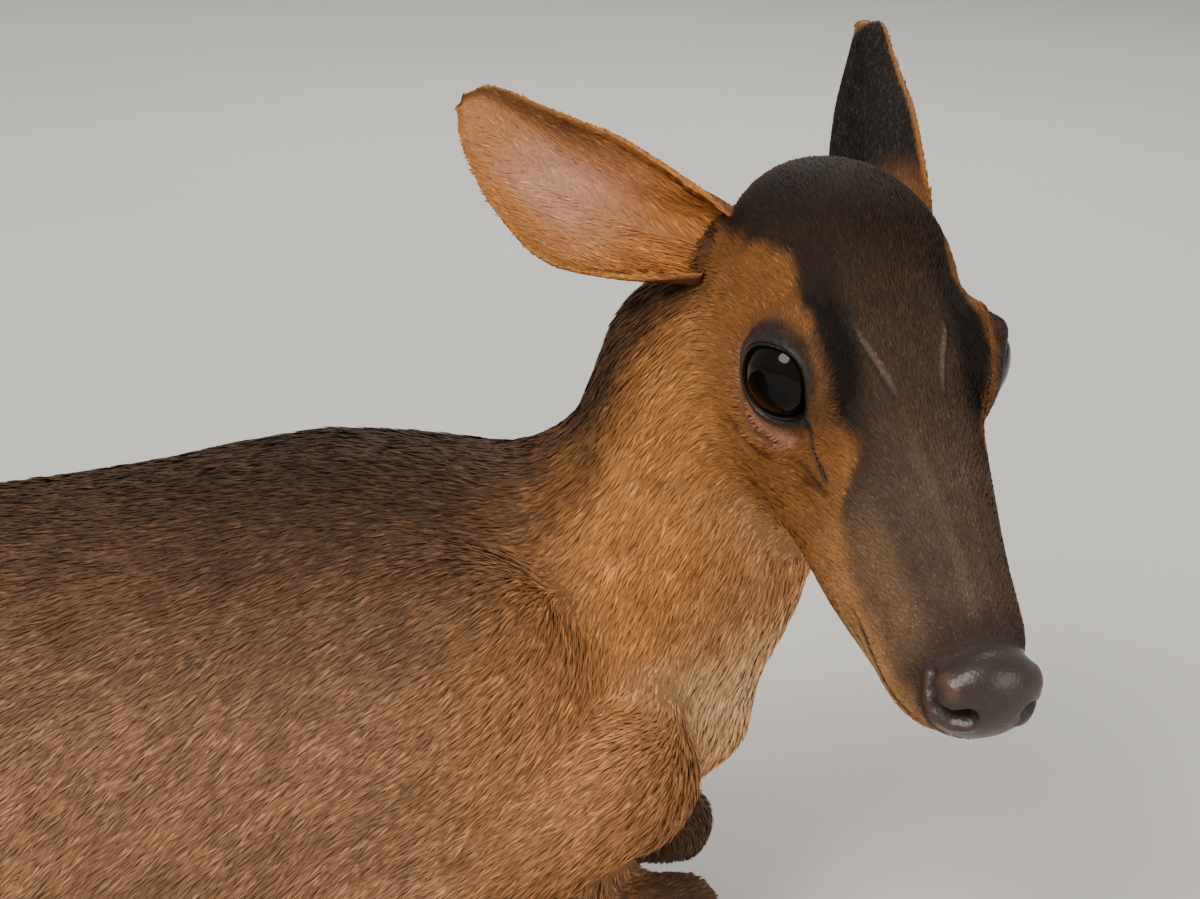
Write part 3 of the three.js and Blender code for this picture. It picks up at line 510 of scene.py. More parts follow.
def path_gap(p, path):
    """Distance to a broken line, and the share of it that lies behind the nearest place."""
    best = None
    for k, (a, b) in enumerate(zip(path[:-1], path[1:])):
        a = np.asarray(a, float)
        b = np.asarray(b, float)
        t = bone_share(p, a, b)
        gap = np.linalg.norm(p - a - t[..., None] * (b - a), axis=-1)
        share = (k + t) / (len(path) - 1)
        if best is None:
            best = [gap, share]
        else:
            nearer = gap < best[0]
            best = [np.where(nearer, gap, best[0]), np.where(nearer, share, best[1])]
    return best


MOUTH_BACK = 58  # where the mouth's line starts, and how long it is
MOUTH_LENGTH = 44
MOUTH_LEVEL = -38


def mouth_level(q):
    """Height of the mouth's line: it rises to its corner and falls to the sides of the nose."""
    t = np.clip((q[..., 0] - MOUTH_BACK) / MOUTH_LENGTH, 0, 1)
    return MOUTH_LEVEL + 3.5 * (1 - t) - 2.5 * (q[..., 1] / 24) ** 2 * t


def face_detail(d, p):
    """Lids, creases, mouth and nostrils, cut into the field of the skin."""
    q = HEAD.local(p)
    m = folded(q)
    for eye in EYES.values():
        e = eye.local(p)
        edge = lid_reach(e)
        front = e[..., 2] > -4
        d = d - 0.35 * hump(edge, 1.3, 1.4) * (e[..., 2] > 0)
        d = d + 0.7 * hump(edge, 1.1, 4.6) * smoothstep(e[..., 1], -2, 6) * front
        d = d + 0.45 * hump(edge, 1.2, 5.4) * smoothstep(-e[..., 1], -2, 6) * front
    for path, depth, width, lips in CREASES:
        gap, share = path_gap(m, path)
        taper = np.sin(np.pi * np.clip(share, 0.06, 0.94)) ** 0.5
        d = d + taper * depth * hump(gap, width)
        d = d - taper * lips * hump(gap, 1.1 * width, 2.2 * width)
    level = m[..., 2] - mouth_level(m)
    along = smoothstep(m[..., 0], MOUTH_BACK - 2, MOUTH_BACK + 4)
    d = d + along * 2.6 * hump(level, 0.75)
    d = d - along * 0.5 * hump(np.abs(level), 1.5, 2.4)
    return d + 0.9 * hump(path_gap(m, LIP_SPLIT)[0], 0.9)


# Depth of the coat over the skin, and what each place adds to it
DEPTH_BODY = 4.0
DEPTH_FEET = -2.3
DEPTH_FACE = 1.5
DEPTH_MUZZLE = -1.1
DEPTH_POLL = 1.2
DEPTH_JAW = 0.9
HEAD_REACH = 14.0  # how far the head's own depth runs out into the neck


def coat_depth(p, q):
    jaw = smoothstep(-q[..., 2], 30, 62)
    poll = smoothstep(-q[..., 0], 10, 60)
    muzzle = smoothstep(q[..., 0], 20, 88)
    face = DEPTH_FACE + DEPTH_MUZZLE * muzzle + DEPTH_POLL * poll + DEPTH_JAW * jaw * (1 - muzzle)
    head = np.clip(1.0 - head_gap(q) / HEAD_REACH, 0, 1)
    head = head * head * (3 - 2 * head)
    body = DEPTH_BODY + DEPTH_FEET * foot_share(p)
    return body + (face - body) * head


def head_gap(q):
    """Roughly how far a place is from the skull."""
    return np.maximum(ellipsoid(q, (12, 0, -22), (98, 52, 56)), 0)


def foot_share(p):
    """Rises to one on the lower legs."""
    b = body_local(p)
    share = np.zeros(p.shape[:-1])
    for side in (-1, 1):
        fore = fore_leg(side)
        hind = hind_leg(side)
        for a, c, radius in (
            (fore["carpus"], fore["fetlock"], 15),
            (fore["fetlock"], fore["toe"], 15),
            (fore["elbow"] * 0.4 + fore["carpus"] * 0.6, fore["carpus"], 17),
            (hind["hock"], hind["fetlock"], 15),
            (hind["fetlock"], hind["toe"], 15),
        ):
            share = np.maximum(share, fade(bone(b, a, c, radius, radius), -1, 6))
    return share


def ear_hollow(d, p):
    for name, side in SIDES.items():
        e = EARS[name].local(p)
        d = smooth_max(d, -ellipsoid(e, (15, -2.0 * side, 2.5), (16, 6.6, 7.2)), 2)
    return d


def under_skin(p):
    return ear_hollow(animal(p) + coat_depth(p, HEAD.local(p)), p)


def lidded_skin(p):
    d = under_skin(p)
    for eye in EYES.values():
        d = smooth_min(d, eye_reach(eye.local(p)) - EYE_RADIUS - LID_DEPTH, 5)
    return d


def skin_field(p):
    d = lidded_skin(p)
    q = HEAD.local(p)
    near = (q[..., 0] > -42) & (np.abs(q[..., 1]) < 46) & (np.abs(q[..., 2] + 15) < 62)
    if near.any():
        d[near] = face_detail(d[near], p[near])
    return d


# Meshes as arrays of places and faces
BLOCK = 4  # cells along each side of a block that is tested by its middle
BLOCK_REACH = 0.87  # half the diagonal of a block of side one
BLOCK_MARGIN = 9  # how far the field may be off at that middle
LEAST_SLOPE = 0.15
LONGEST = 1.45  # an edge is split when it is this many times as long as wanted
EDGE_BODY = 3.2  # wanted edges of the skin's faces
EDGE_HEAD = 1.7
EDGE_EAR_ROOT = 1.2
EDGE_FINE = 0.8
EDGE_NOSTRIL = 0.5


def surface_of(field, low, high, step):
    """Draws the surface of a field: one place in each cell that it crosses, one face for each edge."""
    low = np.asarray(low, float)
    counts = np.ceil((np.asarray(high, float) - low) / (step * BLOCK)).astype(int)
    blocks = np.stack(np.meshgrid(*[np.arange(n) for n in counts], indexing="ij"), -1).reshape(-1, 3)
    coarse = field(low + (blocks + 0.5) * step * BLOCK).reshape(counts)
    shape = counts * BLOCK + 1

    def spread(block_values):
        return block_values.repeat(BLOCK, 0).repeat(BLOCK, 1).repeat(BLOCK, 2)

    values = np.full(shape, 1.0)
    values[:-1, :-1, :-1] = spread(coarse)
    inside = spread(np.abs(coarse) < step * BLOCK * BLOCK_REACH + BLOCK_MARGIN)
    mask = np.zeros(shape, bool)
    for shift in itertools.product((0, 1), repeat=3):
        window = tuple(slice(s, s + n * BLOCK) for s, n in zip(shift, counts))
        mask[window] |= inside
    at = np.argwhere(mask)
    values[mask] = field(low + at * step)
    negative = values < 0
    corner = list(itertools.product((0, 1), repeat=3))
    cells = np.zeros(shape - 1, int)
    for c in corner:
        cells += negative[tuple(slice(o, n - 1 + o) for o, n in zip(c, shape))]
    active = np.argwhere((cells > 0) & (cells < 8))
    number = np.full(shape - 1, -1)
    number[tuple(active.T)] = np.arange(len(active))
    total = np.zeros((len(active), 3))
    hits = np.zeros(len(active))
    for a in corner:
        for axis in range(3):
            if a[axis]:
                continue
            b = list(a)
            b[axis] = 1
            va = values[tuple((active + a).T)]
            vb = values[tuple((active + b).T)]
            cross = (va < 0) != (vb < 0)
            t = va[cross] / (va[cross] - vb[cross])
            place = np.tile(np.array(a, float), (len(t), 1))
            place[:, axis] = t
            total[cross] += place
            hits[cross] += 1
    places = low + (active + total / hits[:, None]) * step
    quads = []
    for axis in range(3):
        u = (axis + 1) % 3
        v = (axis + 2) % 3
        here = negative.take(range(shape[axis] - 1), axis)
        there = negative.take(range(1, shape[axis]), axis)
        for flipped in (False, True):
            edges = np.argwhere((there & ~here) if flipped else (here & ~there))
            edges = edges[(edges[:, u] > 0) & (edges[:, v] > 0)]
            edges = edges[(edges[:, u] < shape[u] - 1) & (edges[:, v] < shape[v] - 1)]
            around = []
            for du, dv in ((1, 1), (0, 1), (0, 0), (1, 0)):
                cell = edges.copy()
                cell[:, u] -= du
                cell[:, v] -= dv
                around.append(number[tuple(cell.T)])
            quad = np.stack(around, -1)
            quads.append(quad[:, ::-1] if flipped else quad)
    return places, np.concatenate(quads)


def halved(places, quads):
    """Two triangles for each quad, across its shorter diagonal."""
    a, b, c, d = [places[quads[:, k]] for k in range(4)]
    short = np.linalg.norm(a - c, axis=1) < np.linalg.norm(b - d, axis=1)
    one = np.where(short[:, None], quads[:, [0, 1, 2]], quads[:, [0, 1, 3]])
    two = np.where(short[:, None], quads[:, [0, 2, 3]], quads[:, [1, 2, 3]])
    return np.concatenate([one, two])


def slope_of(field, p, step=0.05):
    slope = np.zeros_like(p)
    for axis in range(3):
        ahead = p.copy()
        back = p.copy()
        ahead[:, axis] += step
        back[:, axis] -= step
        slope[:, axis] = (field(ahead) - field(back)) / (2 * step)
    return slope


def settled(field, p, rounds, limit, share=1.0):
    """Places moved onto the surface of a field."""
    p = p.copy()
    for _ in range(rounds):
        d = field(p)
        slope = slope_of(field, p)
        size = np.maximum((slope**2).sum(1), LEAST_SLOPE)
        move = -share * slope * (d / size)[:, None]
        length = np.linalg.norm(move, axis=1)
        p += move * np.minimum(1, limit / np.maximum(length, 1e-9))[:, None]
    return p


def on_skin(path):
    """A path on the right side of the head, drawn onto the skin. It is kept with its width made positive."""
    q = HEAD.local(settled(lidded_skin, HEAD.world([mirrored(p, -1) for p in path]), 8, 2.0))
    return np.stack([q[:, 0], -q[:, 1], q[:, 2]], -1)


# Lines of the face, on both sides
GLAND = on_skin([(14.5, 29, -3), (18, 28, -6.5), (21, 27, -9), (25, 26, -11), (29.5, 24.8, -12)])
BROW = on_skin([(-2, 14.8, 18), (3, 14, 17), (9, 11.8, 15), (15, 9.6, 12), (21, 8, 11)])
BROW_LIP = on_skin([(0, 13.2, 18), (4, 12.5, 17), (9.5, 10.2, 15), (15.5, 8.1, 12), (20, 7, 11)])
NOSTRIL = on_skin([
    (88.5, 15.2, -18.6), (92, 15.4, -21.5), (96, 14, -23.4), (99.5, 11.4, -23.4), (102, 8.6, -21.5),
])
NOSTRIL_RIM = on_skin([
    (87.5, 15, -21), (92.5, 15.6, -25.2), (97, 14, -27), (100.6, 11, -27.2), (103, 7.4, -25.4),
])
NOSTRIL_BULB = on_skin([(93, 13.5, -16.4), (96.5, 11.6, -17.4)])
LIP_SPLIT = [(MUZZLE + 1, 0, -17), (MUZZLE + 2, 0, -24), (MUZZLE - 2, 0, -37)]
# Line of a painted highlight along the ridge of the muzzle
BRIDGE_HIGHLIGHT = on_skin([(36, 7, 7), (45, 5.4, 5), (55, 4.4, 2), (66, 3.6, -1), (76, 3.2, -5), (84, 3, -8)])

# Creases: path, depth, width, and the height of the lips beside it
CREASES = [
    (GLAND, 2.0, 0.7, 0.4),
    (BROW, 1.3, 0.6, 0.25),
    (on_skin([(24, 27, -18), (28, 26.5, -17), (32, 25.2, -15)]), 0.8, 1.3, 0.3),
    (on_skin([(20, 29, -14.5), (25, 27.5, -15.5), (29, 26, -14.5)]), 0.6, 1.0, 0.3),
    (on_skin([(-7, 37, -25), (-0.4, 36.3, -25.8), (7.5, 34.4, -23.6), (13, 32, -20)]), 0.6, 1.6, 0.3),
    (on_skin([(-8, 36, -15), (-4, 38, -18.5), (3, 37, -19.5), (10, 34, -16.5)]), 0.9, 1.1, 0.4),
    (on_skin([(-12, 37, 11), (-4, 33, 16.5), (5, 30, 16)]), 0.5, 1.6, 0.3),
    (on_skin([(60, 18, -21), (68, 17.5, -25), (77, 17, -31)]), 0.4, 2.2, 0.1),
]


def nostril_depth(m):
    """How far the skin sinks into the nostrils; less than zero on their rims."""
    gap, share = path_gap(m, NOSTRIL)
    wide = 1.1 + 1.7 * share
    start = smoothstep(share, -0.2, 0.25)
    depth = (1.8 + 3.4 * share) * fade(gap, 0.25 * wide, 1.2 * wide) * start
    depth -= 0.8 * hump(path_gap(m, NOSTRIL_RIM)[0], 1.3)
    return depth - 0.7 * hump(path_gap(m, NOSTRIL_BULB)[0], 2.2)


def refined(places, faces, wanted, field):
    """Splits each edge that is longer than wanted, and the faces beside it."""
    pairs = np.sort(np.concatenate([faces[:, [0, 1]], faces[:, [1, 2]], faces[:, [2, 0]]]), axis=1)
    keys, owner = np.unique(pairs[:, 0] * len(places) + pairs[:, 1], return_inverse=True)
    a = keys // len(places)
    b = keys % len(places)
    middle = (places[a] + places[b]) / 2
    long = np.linalg.norm(places[a] - places[b], axis=1) > wanted(middle) * LONGEST
    fresh = np.full(len(keys), -1)
    fresh[long] = len(places) + np.arange(long.sum())
    added = settled(field, middle[long], 2, 1.0)
    owner = owner.reshape(3, -1).T
    mid = fresh[owner]
    count = (mid >= 0).sum(1)
    out = [faces[count == 0]]
    whole = count == 3
    f = faces[whole]
    m = mid[whole]
    out += [
        np.stack([f[:, 0], m[:, 0], m[:, 2]], 1),
        np.stack([m[:, 0], f[:, 1], m[:, 1]], 1),
        np.stack([m[:, 2], m[:, 1], f[:, 2]], 1),
        m,
    ]
    for k in range(3):
        turn = [k, (k + 1) % 3, (k + 2) % 3]
        one = (count == 1) & (mid[:, k] >= 0)
        f = faces[one][:, turn]
        m = mid[one][:, k]
        out += [np.stack([f[:, 0], m, f[:, 2]], 1), np.stack([m, f[:, 1], f[:, 2]], 1)]
        two = (count == 2) & (mid[:, turn[2]] < 0)
        f = faces[two][:, turn]
        m0 = mid[two][:, turn[0]]
        m1 = mid[two][:, turn[1]]
        out += [
            np.stack([m0, f[:, 1], m1], 1),
            np.stack([f[:, 0], m0, m1], 1),
            np.stack([f[:, 0], m1, f[:, 2]], 1),
        ]
    return np.concatenate([places, added]), np.concatenate(out)


def relaxed(places, faces, share, mask=None):
    """Draws each place towards the mean of its neighbours."""
    pairs = np.concatenate([faces[:, [0, 1]], faces[:, [1, 2]], faces[:, [2, 0]]])
    pairs = np.concatenate([pairs, pairs[:, ::-1]])
    total = np.stack([np.bincount(pairs[:, 0], places[pairs[:, 1], k], len(places)) for k in range(3)], -1)
    count = np.maximum(np.bincount(pairs[:, 0], minlength=len(places)), 1)
    moved = places + share * (total / count[:, None] - places)
    return moved if mask is None else np.where(mask[:, None], moved, places)


def corner_normals(places, faces):
    a, b, c = [places[faces[:, k]] for k in range(3)]
    normal = np.cross(b - a, c - a)
    total = np.zeros_like(places)
    for k in range(3):
        for axis in range(3):
            total[:, axis] += np.bincount(faces[:, k], normal[:, axis], len(places))
    return unit(total)


def wanted_edge(p):
    """How long the edges of the skin's faces may be."""
    q = HEAD.local(p)
    m = folded(q)
    wanted = np.where((head_gap(q) < 12) & (q[..., 0] > -70), EDGE_HEAD, EDGE_BODY)
    fine = m[..., 0] > MUZZLE - 20
    fine |= (np.abs(m[..., 2] - mouth_level(m)) < 4) & (m[..., 0] > 54)
    for path, _, width, _ in CREASES:
        fine |= path_gap(m, path)[0] < 3 * width + 1
    for eye in EYES.values():
        e = eye.local(p)
        fine |= (np.abs(lid_reach(e)) < 6.5) & (e[..., 2] > -5)
    wanted = np.where(fine & (head_gap(q) < 16), EDGE_FINE, wanted)
    wanted = np.where(path_gap(m, NOSTRIL)[0] < 5, EDGE_NOSTRIL, wanted)
    for ear in EARS.values():
        e = ear.local(p)
        from_root = np.linalg.norm(e - np.array([4.0, 0, 0]), axis=-1)
        wanted = np.where(from_root < 20, EDGE_EAR_ROOT, wanted)
    return wanted


def floored(field):
    """A field cut level just above the floor."""
    return lambda p: smooth_max(field(p), SKIN_FLOOR - p[..., 2], 2.5)


def skin_mesh():
    """The skin without its ears: coarse on the trunk, fine on the face, its details drawn in last."""
    plain = floored(under_skin)
    places, quads = surface_of(plain, SKIN_LOW, SKIN_HIGH, SKIN_STEP)
    faces = halved(places, quads)
    places = settled(plain, places, 2, 1.5)
    for _ in range(3):
        places, faces = refined(places, faces, wanted_edge, plain)
    near = wanted_edge(places) < EDGE_BODY
    full = floored(skin_field)
    for share in (0.35, 0.5, 0.7, 0.9, 1.0):
        moved = relaxed(places, faces, 0.35, near)
        moved[near] = settled(full, moved[near], 1, 1.0, share)
        places = np.where(near[:, None], moved, places)
    depth = nostril_depth(folded(HEAD.local(places)))
    places = places - corner_normals(places, faces) * depth[:, None]
    for eye in EYES.values():
        e = eye.local(places)
        sunk = SOCKET_DEPTH * fade(lid_reach(e), -1.9, 0.7) * smoothstep(e[:, 2], 0, 4)
        places = places - eye.axes[2] * sunk[:, None]
    return places, faces


def grid_faces(rows, columns, closed=False):
    """Triangles of a grid whose columns run round. A closed one joins its last row to its first."""
    i, j = np.meshgrid(np.arange(rows if closed else rows - 1), np.arange(columns), indexing="ij")
    a = i * columns + j
    b = i * columns + (j + 1) % columns
    c = (a + columns) % (rows * columns)
    d = (b + columns) % (rows * columns)
    return np.concatenate([np.stack([a, b, d], -1).reshape(-1, 3), np.stack([a, d, c], -1).reshape(-1, 3)])


def outward(places, faces):
    """Turns the faces of a closed form to face out."""
    volume = dot(places[faces[:, 0]], np.cross(places[faces[:, 1]], places[faces[:, 2]])).sum()
    return faces[:, ::-1] if volume < 0 else faces


def ball(rows, columns):
    """A ball of radius one about its third axis, with one place at each pole."""
    polar = np.linspace(0, np.pi, rows)
    turn = np.linspace(0, 2 * np.pi, columns, endpoint=False)
    polar, turn = np.meshgrid(polar, turn, indexing="ij")
    out = np.sin(polar)
    e = np.stack([out * np.cos(turn), out * np.sin(turn), np.cos(polar)], -1).reshape(-1, 3)
    keep = np.arange(len(e))
    keep[:columns] = 0
    keep[-columns:] = len(e) - 1
    faces = keep[grid_faces(rows, columns)]
    whole = (faces[:, 0] != faces[:, 1]) & (faces[:, 1] != faces[:, 2]) & (faces[:, 2] != faces[:, 0])
    used, faces = np.unique(faces[whole], return_inverse=True)
    return e[used], faces.reshape(-1, 3)


def lid_ring(name):
    """The bare rim of the lids: a ring round their opening, laid on the eyeball."""
    rows, columns = 132, 14
    around = np.linspace(0, 2 * np.pi, rows, endpoint=False)
    section = np.linspace(0, 2 * np.pi, columns, endpoint=False)
    around, section = np.meshgrid(around, section, indexing="ij")
    cosine = np.cos(around)
    sine = np.sin(around)
    reach = 1 / np.hypot(cosine, sine / lid_narrow(cosine))
    reach *= 1 + (LID_RIM_HALF * np.cos(section)) / LID_LENGTH
    u = LID_LENGTH * cosine * reach
    v = LID_HEIGHT * sine * reach
    w = EYE_FLAT * np.sqrt((EYE_RADIUS + CORNEA_RISE) ** 2 - u**2 - v**2) + LID_RIM_HALF * np.sin(section)
    places = EYES[name].world(np.stack([u, v, w], -1).reshape(-1, 3))
    # The inner lower side of the ring takes a painted glint
    inner = ((np.cos(section) < -0.3) & (v < 0)).ravel() * 1.0
    return places, outward(places, grid_faces(rows, columns, True)), inner


def ear_sheet(name, side, rows=70, columns=40):
    """A closed curved sheet: both faces of the ear, from inside its root to its tip."""
    ear = EARS[name]
    u = EAR_START + (EAR_LENGTH - EAR_START) * np.sin(np.linspace(0, 1, rows) * np.pi / 2)
    y = np.sin(np.linspace(-1, 1, columns) * np.pi / 2)
    y = np.concatenate([y, y[::-1]])
    face = np.concatenate([np.ones(columns), -np.ones(columns)])
    u, y = np.meshgrid(u, y, indexing="ij")
    face = np.tile(face, (rows, 1))
    curl = ear_curl(u)
    half = ear_half(u)
    cup = ear_cup(u)
    angle = y * curl
    wide = half / np.sin(np.minimum(curl, np.pi / 2))
    deep = cup / (1 - np.cos(curl))
    normal = unit(np.stack([np.zeros_like(u), -deep * np.sin(angle), wide * np.cos(angle)], -1))
    thick = 0.5 * (ear_thickness(u) - 1.4) * (1 - 0.45 * y**4)
    ridges = 0.5 * np.cos(y * 11) * smoothstep(u, 6, 20) * fade(u, 40, 74) * (np.abs(y) < 0.85)
    offset = face * thick + np.where(face > 0, ridges, 0)
    offset = np.where(np.abs(y) > 0.999, 0, offset)
    v = wide * np.sin(angle) - side * ear_shift(u)
    w = EAR_LIFT - deep * (np.cos(angle) - np.cos(curl))
    e = np.stack([u, v, w], -1) + normal * offset[..., None]
    ring = 2 * columns
    places = np.concatenate([e.reshape(-1, 3), e[-1].mean(0)[None], e[0].mean(0)[None]])
    j = np.arange(ring)
    last = (rows - 1) * ring
    tip = np.stack([last + j, last + (j + 1) % ring, np.full(ring, rows * ring)], -1)
    root = np.stack([(j + 1) % ring, j, np.full(ring, rows * ring + 1)], -1)
    world = ear.world(places)
    faces = outward(world, np.concatenate([grid_faces(rows, ring), tip, root]))
    inner = np.concatenate([face.ravel(), [0, 0]])
    across = np.concatenate([y.ravel(), [0, 0]])
    return world, faces, np.stack([places[:, 0], across, inner], -1)


# Markings: colours by place, the same on skin and coat
# The dark mask ends at a half width over the eyes and at a level on the muzzle
MASK_HALF = profile([
    (-43, 31), (-31, 26), (-23, 22.9), (-11.5, 24.4), (4.6, 26), (13.8, 25), (19.3, 23.5),
    (34.5, 21.3), (45, 20.3), (60, 18), (75, 16),
])
MASK_LEVEL = profile([
    (13.8, 8.3), (19.3, 3.5), (25, 2.5), (31, -0.5), (35, -6), (39, -13.5), (45, -18.5),
    (54, -26), (69, -30), (85, -30.6),
])


def waves(p, size, seed):
    """Smooth, repeatable variation between about -1 and 1."""
    total = np.zeros(p.shape[:-1])
    draw = np.random.default_rng(seed)
    for _ in range(7):
        direction = unit(draw.normal(size=3))
        rate = 2 * np.pi / (size * draw.uniform(0.6, 1.7))
        warp = np.sin((p @ unit(draw.normal(size=3))) * rate * 0.7 + draw.uniform(0, 6))
        total += np.sin((p @ direction) * rate + draw.uniform(0, 6) + 1.2 * warp)
    return total / 4.2


def blend(a, b, share):
    return a + (b - a) * np.asarray(share)[..., None]


def under_lid(e):
    """Rises to one below the eye."""
    return smoothstep(-e[..., 1] - 0.35 * np.abs(e[..., 0]), -1, 5)


def head_paint(q, p):
    m = folded(q)
    x, y, z = m[..., 0], m[..., 1], m[..., 2]
    stir = waves(p, 7, 3) * 0.7
    color = blend(FACE, CHEEK, smoothstep(-z, 14, 36) * fade(-x, 20, 52))
    # Pale throat under the jaw, held to a share of 0.6: its own pale colour, kept weaker to paint in part of
    # the shade there
    color = blend(color, THROAT, 0.6 * smoothstep(-z, 44, 60) * fade(x, 40, 70))
    color = blend(color, MUZZLE_LOW, smoothstep(x, 24, 56))
    color = blend(color, CHIN, smoothstep(x, 46, 70) * smoothstep(-z, 37, 45))
    inside = MASK_HALF(x) - y
    inside = inside + (z - MASK_LEVEL(x) - inside) * smoothstep(x, 12, 32)
    soft = 2.1 + 3.4 * smoothstep(x, 30, 56)
    top = smoothstep((inside + stir) / soft, -1, 1)
    top *= np.where(x < 20, smoothstep(z, -10, 0), 1)
    dark = blend(CROWN, FOREHEAD, smoothstep(x, -34, 12) * smoothstep(19 - y, 0, 9))
    dark = blend(dark, BRIDGE, smoothstep(x, 20, 46))
    dark = blend(dark, MUZZLE_SIDE, smoothstep(x, 34, 56) * smoothstep(y - z * 0.5, 16, 25))
    color = blend(color, dark, top)
    color = blend(color, NAPE, smoothstep(-x, 56, 74) * 0.6)
    # Painted highlight along the ridge of the muzzle, stronger on the lit right side
    lit = np.where(q[..., 1] < 0, 0.34, 0.12)
    color = blend(color, BRIDGE * 2.1, lit * fade(path_gap(m, BRIDGE_HIGHLIGHT)[0], 0.3, 2.8))
    color = blend(color, NOSE_PAD, smoothstep(x, 74, 88) * 0.8 * smoothstep(z, -36, -24))
    for eye in EYES.values():
        e = eye.local(p)
        edge = lid_reach(e)
        front = smoothstep(e[..., 2], -6, 2)
        bare = hump(edge, 3.4, 5.0) * under_lid(e) * front
        color = blend(color, BARE_LID, 0.9 * bare)
        rim = 0.8 + 0.9 * smoothstep(-e[..., 0], 4, 12) + 1.2 * smoothstep(e[..., 1] - 0.4 * e[..., 0], 2, 9)
        color = blend(color, LID_RIM * 2.2, 0.95 * fade(edge, rim, rim + 2.6) * front)
        corner = np.hypot((e[..., 0] - LID_LENGTH - 1.4) / 2.2, e[..., 1] / 1.3)
        color = blend(color, LID_RIM, fade(corner, 0.6, 1.3) * front)
    # Painted shade: the folds round the eyes and on the cheeks are darkened along their paths
    for path, _, width, _ in CREASES[2:-1]:
        color = color * (1 - 0.52 * hump(path_gap(m, path)[0], width))[..., None]
    color = blend(color, LID_RIM, fade(path_gap(m, GLAND)[0], 0.4, 1.3))
    gap, share = path_gap(m, BROW_LIP)
    full = np.sin(np.pi * np.clip(share, 0.04, 0.96)) ** 0.6
    color = blend(color, BRIDGE * 2.6, 0.62 * full * fade(gap, 0.25, 1.1 * full + 0.3))
    color = blend(color, LID_RIM, 0.7 * fade(path_gap(m, BROW)[0], 0.2, 0.9))
    pad = nose_pad(m)
    color = blend(color, NOSE_PAD, pad)
    color = blend(color, NOSTRIL_SKIN, fade(path_gap(m, NOSTRIL_RIM)[0], 0.6, 2.2) * pad * 0.5)
    color = blend(color, NOSTRIL_SKIN * 1.2, fade(path_gap(m, NOSTRIL_BULB)[0], 0.8, 3.6) * 0.6)
    # Painted shade: the skin darkens with its depth in the nostrils
    color = blend(color, LID_RIM * 0.5, smoothstep(nostril_depth(m), 0.3, 2.2))
    lips = fade(np.abs(z - mouth_level(m)), 0.7, 1.8) * smoothstep(x, MOUTH_BACK - 2, MOUTH_BACK + 6)
    return blend(color, LID_RIM, 0.9 * lips)


def nose_pad(m):
    """One on the bare skin of the nose."""
    x, y, z = m[..., 0], m[..., 1], m[..., 2]
    back = 87.5 + 0.75 * np.maximum(-z - 23, 0) - 2.6 * smoothstep(y, 9, 15)
    return smoothstep(x - back, -0.8, 0.8) * smoothstep(z, -35.5, -33.5)


def body_paint(p):
    b = body_local(p)
    s = b[..., 0]
    z = b[..., 2]
    stir = waves(p, 40, 5)
    color = blend(BACK_SIDE, BACK_TOP, smoothstep(z + 4 * stir, 104, 190))
    color = blend(color, BELLY, fade(z + 4 * stir, 14, 42) * smoothstep(-s, 20, 70) * 0.6)
    flank = ellipsoid(b, (-290, 0, 70), (90, 110, 70))
    color = blend(color, BACK_SIDE * 1.1, fade(flank, -20, 12) * 0.35)
    ahead = smoothstep(s, -10, 60)
    color = blend(color, NECK_SIDE, ahead * fade(z, 120, 190) * 0.6)
    return color * (1 + 0.1 * waves(p, 16, 8))[..., None]


def neck_paint(p):
    nape = limb_place(p, NECK_JOINTS)
    up = unit(p - nape)
    back = dot(up, unit(np.array([-0.62, 0.45, 0.62])))
    color = blend(NECK_SIDE, NAPE, smoothstep(back + 0.12 * waves(p, 22, 9), 0.1, 0.62))
    front = dot(up, unit(np.array([0.82, -0.42, -0.35])))
    pale = smoothstep(front + 0.1 * waves(p, 18, 10), 0.5, 1.0) * smoothstep(p[..., 2], 70, 110)
    pale = pale * (1 - 0.8 * smoothstep(p[..., 2], 116, 152))
    color = blend(color, THROAT, pale)
    return color * (1 + 0.08 * waves(p, 15, 11))[..., None]


def limb_place(p, joints):
    """The nearest place on the middle line of a limb."""
    best = None
    for (a, _), (b, _) in zip(joints[:-1], joints[1:]):
        a = np.asarray(a, float)
        b = np.asarray(b, float)
        place = a + bone_share(p, a, b)[..., None] * (b - a)
        gap = np.linalg.norm(p - place, axis=-1)
        if best is None:
            best = [gap, place]
        else:
            nearer = gap < best[0]
            best = [np.where(nearer, gap, best[0]), np.where(nearer[..., None], place, best[1])]
    return best[1]


def part_shares(p):
    """How far each place belongs to the head, the neck, the trunk, the legs and the tail."""
    q = HEAD.local(p)
    b = body_local(p)
    gaps = {"head": head_field(q)}
    gaps["neck"] = np.minimum(limb(p, NECK_JOINTS, 24), limb(p, THROAT_JOINTS, 16))
    gaps["trunk"] = np.minimum(trunk(b), rump(b))
    gaps["tail"] = limb(b, TAIL_JOINTS[1:], 18) - 1
    for name, side in SIDES.items():
        hind = hind_leg(side)
        arm, forearm, lower = fore_leg_forms(b, side)
        gaps["arm_" + name] = arm
        gaps["forearm_" + name] = forearm
        gaps["cannon_fore_" + name] = lower
        gaps["thigh_" + name] = thigh(b, side)
        gaps["shank_" + name] = bone(b, hind["stifle"], hind["hock"], 24, 14)
        gaps["cannon_hind_" + name] = cannon(b, hind, "hock", 13)
    least = np.min(list(gaps.values()), axis=0)
    weights = {name: np.exp(-(gap - least) / PART_SOFTNESS) for name, gap in gaps.items()}
    total = sum(weights.values())
    return {name: weight / total for name, weight in weights.items()}


def leg_color(p, name):
    """Darker towards the knee and hock, and dark below them."""
    if "cannon" in name:
        return blend(BACK_SIDE, LEG_DARK, np.full(p.shape[:-1], 0.75))
    joint = limb_ends(name)[1]
    near = fade(np.linalg.norm(body_local(p) - joint, axis=-1), 18, 62)
    return blend(BACK_SIDE, LEG_DARK, 0.25 + 0.6 * near)


